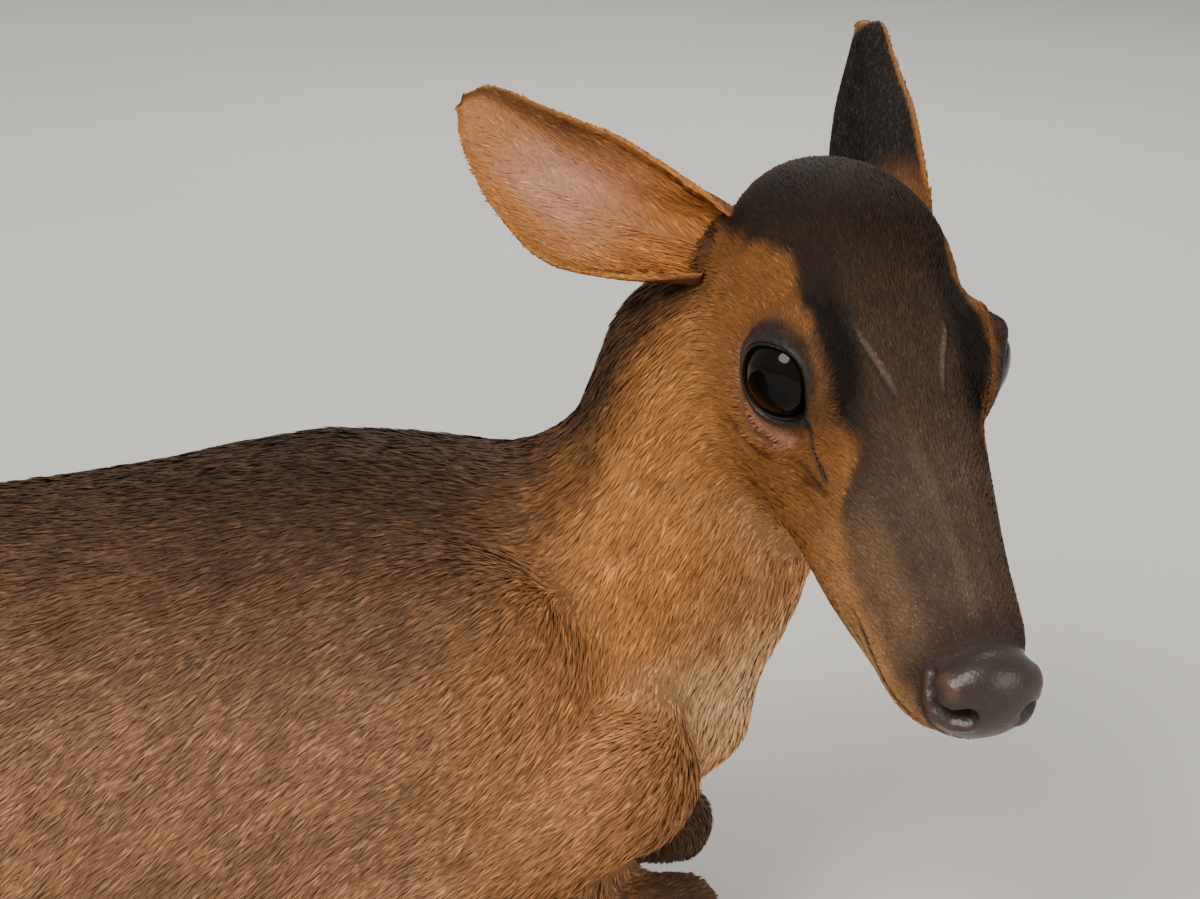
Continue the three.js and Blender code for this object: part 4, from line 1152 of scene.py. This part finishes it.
def tail_paint(b):
    """Brown above, with a pale fringe along the edges and below."""
    middle = limb_place(b, TAIL_JOINTS)
    out = unit(b - middle)
    under = smoothstep(out[..., 0] - 0.6 * np.abs(out[..., 1]), 0.1, 0.7)
    fringe = smoothstep(np.abs(out[..., 1]), 0.8, 0.98) * 0.5
    color = blend(BACK_TOP, TAIL_TOP, smoothstep(126 - b[..., 2], 0, 50))
    return blend(color, TAIL_LOW, np.maximum(under, fringe) * smoothstep(112 - b[..., 2], 0, 40))


def paint(p, shares):
    """Colour of each place, mixed from those of the parts that it belongs to."""
    q = HEAD.local(p)
    color = np.zeros(p.shape)
    body = body_paint(p)
    for name, share in shares.items():
        used = share > LEAST_SHARE
        if not used.any():
            continue
        at = p[used]
        if name == "head":
            own = head_paint(q[used], at)
        elif name == "neck":
            own = neck_paint(at)
        elif name == "tail":
            own = tail_paint(body_local(at))
        elif name.startswith(("forearm", "cannon", "shank")):
            own = leg_color(at, name)
        else:
            own = body[used]
        color[used] += own * share[used][:, None]
    return color


def ear_paint(sheet):
    """The ear's colours, by the place along it, across it, and its inner or outer face."""
    u, y, inner = sheet[:, 0], sheet[:, 1], sheet[:, 2]
    outside = blend(EAR_BASE, EAR_BACK, smoothstep(u, 6, 30))
    low = np.maximum(fade(u, 26, 56), smoothstep(np.abs(y), 0.22, 0.66))
    low = np.maximum(low, 0.85 * smoothstep(u, 58, 84))
    inside = blend(EAR_INSIDE, EAR_LOW, low * 0.9)
    inside = blend(inside, EAR_INSIDE * 0.55, np.abs(np.cos(y * 9)) * smoothstep(u, 12, 30) * 0.3)
    inside = blend(inside, EAR_BACK * 1.6, 0.6 * smoothstep(-y, 0.35, 0.75) * smoothstep(u, 30, 60))
    color = np.where((inner > 0)[:, None], inside, outside)
    rim = np.maximum(smoothstep(np.abs(y), 0.88, 0.98), 0.85 * smoothstep(u, 88, 92.5))
    return blend(color, EAR_RIM, rim * smoothstep(u, 4, 20) * 0.7)


# Flow of the coat
def flow(p, shares):
    """The way the hair lies at each place."""
    q = HEAD.local(p)
    b = body_local(p)
    along = np.zeros(p.shape)
    ahead = body_ahead(b)
    down = np.array([0.0, 0.0, -1.0])
    for name, share in shares.items():
        used = share > LEAST_SHARE
        if not used.any():
            continue
        at = b[used]
        if name == "head":
            own = head_flow(q[used], p[used])
        elif name == "neck":
            axis = unit(np.array(NECK_JOINTS[0][0]) - np.array(NECK_JOINTS[3][0]))
            own = np.tile(unit(axis + 0.25 * down), (len(at), 1))
        elif name == "tail":
            lower = smoothstep(110 - at[:, 2], 0, 50)
            joints = [joint for joint, _ in TAIL_JOINTS]
            own = blend(body_axis(joints[0], joints[1]), body_axis(joints[2], joints[3]), lower)
        elif name.startswith(("trunk", "thigh", "arm")):
            side = smoothstep(np.abs(at[:, 1]), 14, 60) * smoothstep(at[:, 2], 6, 60)
            own = unit(-ahead[used] + (0.15 + 0.55 * side)[:, None] * down)
        else:
            top, low, _ = limb_ends(name)
            own = np.tile(body_axis(top, low), (len(at), 1))
        along[used] += own * share[used][:, None]
    swirl = np.stack([waves(p, 26, 21), waves(p, 26, 22), waves(p, 26, 23)], -1)
    fine = np.stack([waves(p, 9, 24), waves(p, 9, 25), waves(p, 9, 26)], -1)
    calm = 1 - 0.6 * shares["head"]
    return unit(unit(along) + (0.09 * swirl + 0.06 * fine) * calm[..., None])


def body_axis(a, b):
    return unit(body_world(b) - body_world(a))


def head_flow(q, p):
    """Back from the nose, down on the cheeks, and away from the eyes."""
    own = np.zeros(q.shape)
    own[:, 0] = -1.0
    own[:, 2] = -0.12 - 0.5 * smoothstep(-q[:, 0], 10, 60) * smoothstep(8 - q[:, 2], 0, 40)
    own[:, 1] = 0.25 * np.sign(q[:, 1]) * smoothstep(np.abs(q[:, 1]), 4, 22) * smoothstep(q[:, 0], -20, 40)
    away = np.zeros(q.shape)
    for eye in EYES.values():
        e = eye.local(p)
        gap = np.hypot(e[:, 0], e[:, 1])
        out = (e[:, :1] * eye.axes[0] + e[:, 1:2] * eye.axes[1]) / np.maximum(gap, 1)[:, None]
        away += out * (hump(gap, 10, 12) * (e[:, 2] > -4))[:, None]
    return unit(HEAD.turn(own) + 1.5 * away)


# Objects from arrays
def mesh_object(name, places, faces, colors, normals=None):
    """A smooth object in metres, with its paint at the vertices."""
    mesh = bpy.data.meshes.new(name)
    mesh.vertices.add(len(places))
    mesh.vertices.foreach_set("co", ((places - MIDDLE) * MM).astype(np.float32).ravel())
    mesh.loops.add(faces.size)
    mesh.loops.foreach_set("vertex_index", faces.astype(np.int32).ravel())
    mesh.polygons.add(len(faces))
    mesh.polygons.foreach_set("loop_start", np.arange(0, faces.size, 3, dtype=np.int32))
    mesh.update(calc_edges=True)
    mesh.polygons.foreach_set("use_smooth", np.ones(len(faces), bool))
    layer = mesh.color_attributes.new("Tint", "FLOAT_COLOR", "POINT")
    layer.data.foreach_set("color", colors.astype(np.float32).ravel())
    if normals is not None:
        mesh.normals_split_custom_set_from_vertices(normals.astype(np.float32))
    return linked(name, mesh)


def linked(name, data):
    obj = bpy.data.objects.new(name, data)
    bpy.context.scene.collection.objects.link(obj)
    return obj


def with_alpha(color, value):
    alpha = np.broadcast_to(np.asarray(value, float), color.shape[:-1])
    return np.concatenate([np.clip(color, 0, 1), alpha[..., None]], -1)


# Materials
def new_material(name):
    material = bpy.data.materials.new(name)
    material.use_nodes = True
    tree = material.node_tree
    shader = tree.nodes["Principled BSDF"]
    return material, tree, shader


def set_inputs(item, **inputs):
    for key, value in inputs.items():
        item.inputs[key.replace("_", " ")].default_value = value


def add_node(tree, kind, **inputs):
    item = tree.nodes.new(kind)
    set_inputs(item, **inputs)
    return item


def tinted(tree, shader, scale, low, high, detail):
    """The painted colour, made lighter and darker by fine noise. Returns its source and its places."""
    source = tree.nodes.new("ShaderNodeVertexColor")
    source.layer_name = "Tint"
    where = tree.nodes.new("ShaderNodeTexCoord")
    noise = add_node(tree, "ShaderNodeTexNoise", Scale=scale, Detail=detail, Roughness=0.6)
    tree.links.new(where.outputs["Object"], noise.inputs["Vector"])
    spread = add_node(tree, "ShaderNodeMapRange", From_Min=0.3, From_Max=0.7, To_Min=low, To_Max=high)
    tree.links.new(noise.outputs["Fac"], spread.inputs["Value"])
    mixed = tree.nodes.new("ShaderNodeMix")
    mixed.data_type = "RGBA"
    mixed.blend_type = "MULTIPLY"
    mixed.inputs["Factor"].default_value = 1.0
    tree.links.new(source.outputs["Color"], mixed.inputs["A"])
    tree.links.new(spread.outputs["Result"], mixed.inputs["B"])
    tree.links.new(mixed.outputs["Result"], shader.inputs["Base Color"])
    return source, where


def bumped(tree, shader, where, layers):
    """Bump from noise or cells: each layer gives kind, scale, strength and distance."""
    normal = None
    for kind, scale, strength, distance in layers:
        if kind == "cells":
            texture = add_node(tree, "ShaderNodeTexVoronoi", Scale=scale)
            height = texture.outputs["Distance"]
        else:
            texture = add_node(tree, "ShaderNodeTexNoise", Scale=scale, Detail=4.0)
            height = texture.outputs["Fac"]
        tree.links.new(where.outputs["Object"], texture.inputs["Vector"])
        bump = add_node(tree, "ShaderNodeBump", Strength=strength, Distance=distance)
        tree.links.new(height, bump.inputs["Height"])
        if normal is not None:
            tree.links.new(normal, bump.inputs["Normal"])
        normal = bump.outputs["Normal"]
    if normal is not None:
        tree.links.new(normal, shader.inputs["Normal"])


def painted(name, scale, low, high, detail=3.0, layers=(), wet=False, **inputs):
    """A material with its paint, gloss and bump. A wet one is glossy where the paint's alpha is low."""
    material, tree, shader = new_material(name)
    source, where = tinted(tree, shader, scale, low, high, detail)
    set_inputs(shader, **inputs)
    if wet:
        rough = add_node(tree, "ShaderNodeMapRange", To_Min=0.22, To_Max=0.8)
        tree.links.new(source.outputs["Alpha"], rough.inputs["Value"])
        tree.links.new(rough.outputs["Result"], shader.inputs["Roughness"])
    bumped(tree, shader, where, layers)
    return material


def floor_material():
    material, tree, shader = new_material("pale_floor")
    where = tree.nodes.new("ShaderNodeTexCoord")
    noise = add_node(tree, "ShaderNodeTexNoise", Scale=3.0, Detail=6.0)
    tree.links.new(where.outputs["Object"], noise.inputs["Vector"])
    ramp = tree.nodes.new("ShaderNodeValToRGB")
    ramp.color_ramp.elements[0].color = (0.60, 0.585, 0.56, 1)
    ramp.color_ramp.elements[1].color = (0.66, 0.645, 0.62, 1)
    tree.links.new(noise.outputs["Fac"], ramp.inputs["Fac"])
    tree.links.new(ramp.outputs["Color"], shader.inputs["Base Color"])
    set_inputs(shader, Roughness=0.85)
    return material


# Skin with both ears
skin_places, skin_faces = skin_mesh()
skin_shares = part_shares(skin_places)
skin_normals = corner_normals(skin_places, skin_faces)
skin_color = paint(skin_places, skin_shares)
skin_q = HEAD.local(skin_places)
skin_m = folded(skin_q)
skin_pad = nose_pad(skin_m)
skin_dry = np.ones(len(skin_places))
for eye in EYES.values():
    in_eye = eye.local(skin_places)
    rim = fade(lid_reach(in_eye), 0.8, 2.6) * (in_eye[:, 2] > -2)
    skin_dry = np.minimum(skin_dry, 1 - 0.85 * rim)
skin_dry = np.minimum(skin_dry, 0.4 + 0.6 * smoothstep(path_gap(skin_m, GLAND)[0], 0.3, 1.0))

# Skin under the coat is darker than its paint; the bare nose keeps it
UNDER_COAT = 0.62
BARE_REST = 0.38
EAR_DRY = 0.8
RIM_DRY = 0.4
covered = skin_color * UNDER_COAT + BARE_REST * skin_color * skin_pad[:, None]
sheets = [(skin_places, skin_faces, with_alpha(covered, skin_dry))]
ears = {}
for ear_name, ear_side in SIDES.items():
    places, faces, sheet = ear_sheet(ear_name, ear_side)
    ears[ear_name] = (places, faces, sheet)
    sheets.append((places, faces, with_alpha(ear_paint(sheet) * 0.9, EAR_DRY)))
for ring_name in SIDES:
    places, faces, inner = lid_ring(ring_name)
    # Dark rims with a painted glint on their inner lower side
    sheets.append((places, faces, with_alpha(blend(LID_RIM, LID_GLINT, inner), RIM_DRY)))
offsets = np.cumsum([0] + [len(places) for places, _, _ in sheets])
skin = mesh_object(
    "skin",
    np.concatenate([places for places, _, _ in sheets]),
    np.concatenate([faces + offset for (_, faces, _), offset in zip(sheets, offsets)]),
    np.concatenate([colors for _, _, colors in sheets]),
)
# Bumps of the skin and the nose
HAIRY = [("noise", 1500.0, 0.5, 0.0004), ("noise", 260.0, 0.3, 0.0006)]
GRAINED = [("cells", 900.0, 0.2, 0.0004), ("noise", 2600.0, 0.2, 0.0002)]
skin_stuff = painted("muntjac_skin", 900.0, 0.75, 1.2, layers=HAIRY, wet=True, Specular_IOR_Level=0.4)
nose_stuff = painted(
    "muntjac_nose", 700.0, 0.8, 1.15, layers=GRAINED, Roughness=0.34, Specular_IOR_Level=0.42
)
skin.data.materials.append(skin_stuff)
skin.data.materials.append(nose_stuff)
face_pad = np.zeros(len(skin.data.polygons), np.int32)
face_pad[: len(skin_faces)] = skin_pad[skin_faces].min(1) > 0.5
skin.data.polygons.foreach_set("material_index", face_pad)
FLESH = ["head", "nose", "ear_right", "ear_left", "neck", "torso", "tail"]
for side_name in SIDES:
    FLESH += [part + side_name for part in ("forearm_", "cannon_fore_", "shank_", "cannon_hind_", "thigh_")]
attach(skin, "root")
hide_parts(*FLESH)


# Coat: flat tufts of three faces, from a root in the skin to a tip near the outline
LIVELY = 1.0  # share of the blades that are made
BLADE = np.array([[0, 3, 1], [0, 2, 3], [2, 4, 3]])
BLADE_LOW = 0.55  # shares of a blade's length below and above its bend
BLADE_HIGH = 0.45
BLADE_ROOT = 0.75  # width at the root against the width at the bend
BLADE_FAN = np.array([-0.35, 0.35, -0.35, 0.35, 0.0])[None, :, None]  # normals lean out to its edges
BLADE_LIGHT = np.array([1, 1, 1.5, 1.5, 1.25])[None, :, None]  # tones of a light blade
BLADE_SKEW = 0.12  # spread of the way that the blades lie
BLADE_TWIST = 0.35  # spread of their turn about themselves
BLADE_SHADE = 0.13  # spread of their lightness
ROOT_DEPTH = 0.35  # depth of a root in the skin, and its limit as a share of the length
ROOT_SHARE = 0.07
ROOT_BACK = 0.2  # how far a root starts behind its place
COAT_LIMIT = 64000  # most blades in one piece
LEAST_BLADES = 3
PATCH = np.array([[-1, -1], [1, -1], [-1, 0.4], [1, 0.4], [0, 1]]) * 0.0015  # a blade on its piece's map
MAP_EDGE = 0.01
MAP_SPAN = 0.98


def scattered(places, faces, density):
    """Random places on a mesh, as many to a square millimetre as the density at each vertex says."""
    a, b, c = [places[faces[:, k]] for k in range(3)]
    area = np.linalg.norm(np.cross(b - a, c - a), axis=1) / 2
    expected = area * density[faces].mean(1) * LIVELY
    reach = np.cumsum(expected)
    count = int(reach[-1])
    spots = (np.arange(count) + rng.random(count)) * reach[-1] / count
    at = np.minimum(np.searchsorted(reach, spots), len(faces) - 1)
    r = np.sqrt(rng.random(count))
    s = rng.random(count)
    share = np.stack([1 - r, r * (1 - s), r * s], -1)
    corners = faces[at]

    def mixed(values):
        values = np.asarray(values, float)
        if values.ndim == 1:
            return (values[corners] * share).sum(1)
        return (values[corners] * share[..., None]).sum(1)

    return mixed


def tufts(root, normal, lie, length, width, lift, color, bands, curl=0.35):
    """Arrays of blades: places, colours and normals, five to each blade."""
    count = len(root)
    lie = unit(lie - normal * dot(lie, normal)[:, None])
    aside = unit(np.cross(normal, lie))
    skew = rng.normal(0, BLADE_SKEW, count)
    lie = unit(lie + aside * skew[:, None])
    aside = unit(np.cross(normal, lie))
    twist = rng.normal(0, BLADE_TWIST, count)
    flat = unit(aside + normal * twist[:, None])
    length = length * rng.uniform(0.75, 1.25, count)
    lift = lift * rng.uniform(0.6, 1.4, count)
    first = lie * np.cos(lift)[:, None] + normal * np.sin(lift)[:, None]
    later = lie * np.cos(lift * curl)[:, None] + normal * np.sin(lift * curl)[:, None]
    depth = np.minimum(ROOT_DEPTH, ROOT_SHARE * length)
    sunk = root - normal * depth[:, None] - lie * ROOT_BACK
    middle = sunk + first * (length * BLADE_LOW)[:, None]
    tip = middle + later * (length * BLADE_HIGH)[:, None]
    half = (width * rng.uniform(0.8, 1.2, count) * 0.5)[:, None]
    at_bend = flat * half
    at_root = at_bend * BLADE_ROOT
    places = np.stack([sunk - at_root, sunk + at_root, middle - at_bend, middle + at_bend, tip], 1)
    places[..., 2] = np.maximum(places[..., 2], HAIR_FLOOR)
    shade = rng.normal(1.0, BLADE_SHADE, count)[:, None, None]
    levels = np.array([bands[0], bands[0], bands[1], bands[1], bands[2]])[None, :, None]
    light = (rng.random(count) < bands[3])[:, None, None]
    dark_tip = np.array([1, 1, 1, 1, bands[4]])[None, :, None]
    tones = color[:, None, :] * shade * levels * np.where(light, BLADE_LIGHT, dark_tip)
    leaning = unit(normal[:, None, :] + flat[:, None, :] * BLADE_FAN)
    return places, with_alpha(tones, 1.0), leaning


coat_stuff = painted("muntjac_coat", 130.0, 0.84, 1.16, Roughness=0.7, Specular_IOR_Level=0.14)


def coat_piece(name, made, spot):
    """One or more objects from blades, each with a map that holds a small patch for every blade."""
    parts = max(1, math.ceil(len(spot) / COAT_LIMIT))
    order = np.argsort(spot[:, 0], kind="stable")
    for k, chosen in enumerate(np.array_split(order, parts)):
        title = name if parts == 1 else name + "_" + str(k + 1)
        faces = (BLADE[None] + 5 * np.arange(len(chosen))[:, None, None]).reshape(-1, 3)
        flat = [values[chosen].reshape(-1, values.shape[-1]) for values in made]
        obj = mesh_object(title, flat[0], faces, flat[1], flat[2])
        own = spot[chosen]
        low = own.min(0)
        span = np.maximum(own.max(0) - low, 1e-6)
        own = MAP_EDGE + MAP_SPAN * (own - low) / span
        corners = (own[:, None, :] + PATCH[None])[:, BLADE.ravel(), :]
        layer = obj.data.uv_layers.new(name="OFBake")
        layer.data.foreach_set("uv", corners.astype(np.float32).ravel())
        obj.data.materials.append(coat_stuff)
        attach(obj, "root")


def around(p, centre, axis, up):
    """Unwraps a place round an axis: the way along it, and the angle round it."""
    axis = unit(axis)
    up = unit(np.asarray(up, float) - axis * dot(up, axis))
    side = np.cross(axis, up)
    q = p - centre
    return np.stack([dot(q, axis), np.arctan2(dot(q, side), -dot(q, up))], -1)


def spot_of(name, p):
    """Two measures of each place that spread a piece of the coat out flat."""
    b = body_local(p)
    if name == "head":
        q = HEAD.local(p)
        return np.stack([q[:, 0], np.arctan2(q[:, 1], q[:, 2] + 24)], -1)
    if name == "neck":
        return around(p, np.array([75, 12, 120]), (0.25, 0.05, 1), (1, 0, 0))
    if name in ("trunk", "tail"):
        return np.stack([b[:, 0], np.arctan2(b[:, 1], b[:, 2] - 70)], -1)
    top, low, side = limb_ends(name)
    return around(b, top, low - top, (0, side, 0.3))


# Length, width, lift, blades to a square millimetre, and bands: root, middle, tip, light share, dark tip
COATS = {
    "head": (4.0, 0.56, 0.22, 3.1, (0.76, 1.0, 1.06, 0.05, 0.94)),
    "neck": (7.3, 0.79, 0.19, 1.52, (0.72, 1.0, 1.06, 0.14, 0.86)),
    "trunk": (7.4, 0.85, 0.18, 1.28, (0.7, 1.0, 1.08, 0.24, 0.74)),
    "tail": (10.5, 1.1, 0.15, 1.6, (0.66, 0.98, 1.08, 0.2, 0.82)),
    "limb": (5.2, 0.8, 0.18, 1.7, (0.68, 1.0, 1.05, 0.15, 0.82)),
}
EAR_BANDS = (0.7, 1.0, 1.15, 0.1, 0.95)
EAR_BLADE = 0.5  # width of a blade on the ears

# Pieces of the coat and their slots; each part of a leg is a piece of its own
COAT_PIECES = {
    "head": ("coat_face", "face"),
    "neck": ("coat_neck", "coat"),
    "trunk": ("coat_body", "coat"),
    "tail": ("coat_tail", "coat"),
}


def coat_kind(name):
    """The row of the coat's measures that a part of the body follows."""
    if name in ("head", "neck", "tail"):
        return name
    return "trunk" if name.startswith(("trunk", "arm", "thigh")) else "limb"


def mixed_coat(shares):
    """The measures of the coat at each place, mixed by how far it belongs to each part."""
    count = len(next(iter(shares.values())))
    size = np.zeros((count, 4))
    for name, share in shares.items():
        size += share[:, None] * np.array(COATS[coat_kind(name)][:4])
    return size


size = mixed_coat(skin_shares)
muzzle = smoothstep(skin_q[:, 0], -10, 84) * skin_shares["head"]
shrink = 1 - 0.55 * muzzle
density = size[:, 3] * (1 + 0.5 * muzzle)
density *= 1 - skin_pad
density *= 1 - 0.65 * smoothstep(-skin_normals[:, 2], 0.55, 0.9) * (1 - skin_shares["head"])
for eye in EYES.values():
    in_eye = eye.local(skin_places)
    edge = lid_reach(in_eye)
    front = in_eye[:, 2] > -4
    density *= np.where(front, smoothstep(edge, 1.6, 2.6), 1)
    bare = fade(edge, 6.0, 10.5) * under_lid(in_eye) * front
    density *= 1 - 0.82 * bare
    shrink *= np.where(front, 0.42 + 0.58 * smoothstep(edge, 1, 13), 1)
for line, reach in ((GLAND, 0.9), (BROW, 0.5), (BROW_LIP, 0.6)):
    gap = path_gap(skin_m, line)[0]
    density *= 0.1 + 0.9 * smoothstep(gap, 0.5 * reach, reach + 0.4)
    shrink *= 0.65 + 0.35 * smoothstep(gap, 1, 4)
lips = fade(np.abs(skin_m[:, 2] - mouth_level(skin_m)), 0.5, 1.1)
density *= 1 - lips * smoothstep(skin_m[:, 0], MOUTH_BACK - 2, MOUTH_BACK + 4)
for ear_name, ear_side in SIDES.items():
    in_ear = EARS[ear_name].local(skin_places)
    hollow = ellipsoid(in_ear, (15, -2.0 * ear_side, 2.5), (17, 7.6, 8.2))
    density *= 0.15 + 0.85 * smoothstep(hollow, -1, 1.5)
skin_flow = flow(skin_places, skin_shares)

mixed = scattered(skin_places, skin_faces, density)
root = mixed(skin_places)
normal = unit(mixed(skin_normals))
lie = mixed(skin_flow)
blade = mixed(size)
small = mixed(shrink)
owners = sorted(skin_shares)
owner = np.array([mixed(skin_shares[name]) for name in owners]).argmax(0)
tint = paint(root, part_shares(root))
for owner_name in owners:
    if owner_name not in COAT_PIECES:
        COAT_PIECES[owner_name] = ("coat_" + owner_name, "leg" if coat_kind(owner_name) == "limb" else "coat")
for owner_name, (piece_name, slot_name) in COAT_PIECES.items():
    chosen = owner == owners.index(owner_name)
    if chosen.sum() < LEAST_BLADES:
        continue
    shrunk = small[chosen]
    length = blade[chosen, 0] * shrunk
    width = blade[chosen, 1] * shrunk**0.5
    lift = blade[chosen, 2]
    bands = COATS[coat_kind(owner_name)][4]
    made = tufts(root[chosen], normal[chosen], lie[chosen], length, width, lift, tint[chosen], bands)
    coat_piece(piece_name, made, spot_of(owner_name, root[chosen]))

for ear_name, ear_side in SIDES.items():
    places, faces, sheet = ears[ear_name]
    normals = corner_normals(places, faces)
    u, y, inner = sheet.T
    inside = 0.4 + 1.5 * smoothstep(np.abs(y), 0.5, 0.9) + 1.2 * fade(u, 14, 34)
    thick = np.where(inner > 0, inside, 2.8)
    mixed_ear = scattered(places, faces, thick * smoothstep(u, 4, 10))
    e_root = mixed_ear(places)
    e_normal = unit(mixed_ear(normals))
    e_sheet = mixed_ear(sheet)
    along = np.tile(EARS[ear_name].axes[0], (len(e_root), 1))
    across = EARS[ear_name].axes[1] * np.sign(e_sheet[:, 1:2])
    e_inner = e_sheet[:, 2] > 0
    e_lie = unit(along + np.where(e_inner, 0.35, 0.15)[:, None] * across)
    long = np.where(e_inner, 4.2 + 4 * fade(e_sheet[:, 0], 8, 34), 3.4)
    long *= 1 - 0.45 * smoothstep(np.maximum(np.abs(e_sheet[:, 1]), e_sheet[:, 0] / EAR_LENGTH), 0.8, 0.97)
    long *= 1 - 0.65 * smoothstep(e_sheet[:, 0], 84, 93)
    lift = np.where(e_inner, 0.24, 0.14)
    width = np.full(len(e_root), EAR_BLADE)
    made = tufts(e_root, e_normal, e_lie, long, width, lift, ear_paint(e_sheet), EAR_BANDS)
    spot = np.stack([e_sheet[:, 0], np.arctan2(e_sheet[:, 1], e_sheet[:, 2])], -1)
    coat_piece("coat_ear_" + ear_name, made, spot)


# Eyes: a ball with a raised cornea, a dark iris and a level pupil
IRIS_RADIUS = 10.2
PUPIL_HALF = (6.4, 4.0)


def eye_mesh(name):
    e, faces = ball(96, 96)
    polar = np.degrees(np.arccos(np.clip(e[:, 2], -1, 1)))
    e = e * (EYE_RADIUS + CORNEA_RISE * fade(polar, 26, 52))[:, None] * np.array([1, 1, EYE_FLAT])
    iris = np.hypot(e[:, 0], e[:, 1]) / IRIS_RADIUS
    pupil = np.hypot(e[:, 0] / PUPIL_HALF[0], e[:, 1] / PUPIL_HALF[1])
    rays = 1 + 0.25 * np.sin(np.arctan2(e[:, 1], e[:, 0]) * 37 + 3 * iris)
    color = blend(IRIS * rays[:, None], PUPIL, fade(pupil, 0.9, 1.1))
    color = blend(color, EYE_EDGE, smoothstep(iris, 0.92, 1.06))
    places = EYES[name].world(e)
    return places, outward(places, faces), with_alpha(color, 1.0)


eye_stuff = painted("muntjac_eye", 420.0, 0.7, 1.3, 5.0, Roughness=0.07, IOR=1.36, Specular_IOR_Level=0.28)
for eye_name in SIDES:
    places, faces, colors = eye_mesh(eye_name)
    obj = mesh_object("eyeball_" + eye_name, places, faces, colors)
    obj.data.materials.append(eye_stuff)
    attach(obj, "root")
    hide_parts("eye_" + eye_name)


# Hooves of the feet, with the dew claws
def claw_shape(foot, side):
    e, faces = ball(28, 36)
    x, y, z = e.T
    u = 9 + 17 * x
    v = np.where(y > 0, 5.6, 4.4) * y * (1 - 0.45 * np.maximum(x, 0) ** 2)
    w = np.where(z > 0, z * 9.5 * (1 - 0.5 * np.maximum(x, 0)), z * 6.5)
    rings = 1 + 0.012 * np.sin(u * 2.6)
    places = foot.world(np.stack([u, side * (5.4 + v * rings), w * rings - 1], -1))
    places[:, 2] = np.maximum(places[:, 2], 0.0)
    return places, faces


def dew_shape(foot, side):
    e, faces = ball(14, 18)
    places = foot.world(np.stack([-20 + 7 * e[:, 0], side * (6 + 3 * e[:, 1]), -8 + 4.5 * e[:, 2]], -1))
    places[:, 2] = np.maximum(places[:, 2], 0.0)
    return places, faces


STREAKED = [("noise", 900.0, 0.35, 0.0003)]
claw_stuff = painted("muntjac_claw", 300.0, 0.6, 1.3, 5.0, layers=STREAKED, Roughness=0.42)
for side_name, side in SIDES.items():
    for title, leg, front in (("fore_", fore_leg(side), (0, 0, -1)), ("hind_", hind_leg(side), (0, 0, 1))):
        ahead = 2 * leg["toe"] - leg["fetlock"]
        foot = aimed(body_world(leg["toe"]), body_world(ahead) - body_world(leg["toe"]), front)
        for letter, claw_side in (("_a", -1.0), ("_b", 1.0)):
            places, faces = claw_shape(foot, claw_side)
            more, more_faces = dew_shape(foot, claw_side)
            faces = np.concatenate([outward(places, faces), outward(more, more_faces) + len(places)])
            places = np.concatenate([places, more])
            along = foot.local(places)[:, 0]
            color = with_alpha(blend(CLAW, CLAW_TIP, smoothstep(along, -2, 22)), 1.0)
            obj = mesh_object("claw_" + title + side_name + letter, places, faces, color)
            obj.data.materials.append(claw_stuff)
            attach(obj, "root")
            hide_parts("hoof_" + title + side_name + letter)


# Floor, lights and camera
floor_mesh = bpy.data.meshes.new("floor")
floor_mesh.from_pydata([(-9, -9, 0), (9, -9, 0), (9, 9, 0), (-9, 9, 0)], [], [(0, 1, 2, 3)])
floor = linked("floor", floor_mesh)
floor_mesh.materials.append(floor_material())


def area_light(name, place, target, size, power, color):
    data = bpy.data.lights.new(name, "AREA")
    data.shape = "DISK"
    data.size = size
    data.energy = power
    data.color = color
    obj = linked(name, data)
    obj.location = place
    w = unit(np.asarray(place, float) - np.asarray(target, float))
    u = unit(np.cross((0, 0, 1), w))
    v = np.cross(w, u)
    obj.rotation_euler = Matrix([[u[i], v[i], w[i]] for i in range(3)]).to_euler()


area_light("key", (-0.7, -1.3, 1.9), (0.05, 0, 0.12), 1.1, 44, (1.0, 0.955, 0.89))
area_light("fill", (1.7, -1.2, 0.9), (0.1, 0, 0.15), 1.3, 15, (1.0, 0.97, 0.94))
area_light("back", (0.3, 1.6, 1.6), (0, 0, 0.15), 1.0, 20, (1.0, 0.97, 0.92))
world = bpy.data.worlds.new("studio")
world.use_nodes = True
world.node_tree.nodes["Background"].inputs["Color"].default_value = (0.9, 0.885, 0.86, 1)
world.node_tree.nodes["Background"].inputs["Strength"].default_value = 0.55
bpy.context.scene.world = world

down = unit(CAMERA_DOWN)
ahead = unit(np.array([0, 0, 1.0]) - down * down[2])
right = np.cross(down, ahead)
seen = np.array([right, ahead, -down])
camera_data = bpy.data.cameras.new("camera")
camera_data.sensor_width = SENSOR_WIDTH
camera_data.lens = SENSOR_WIDTH * FOCAL_PIXELS / IMAGE_WIDTH
camera_data.clip_start = 0.01
camera = linked("camera", camera_data)
turn = Matrix([[seen[i, 0], -seen[i, 1], -seen[i, 2]] for i in range(3)])
camera.rotation_euler = turn.to_euler()
camera.location = (CAMERA_PLACE - MIDDLE) * MM
bpy.context.scene.camera = camera
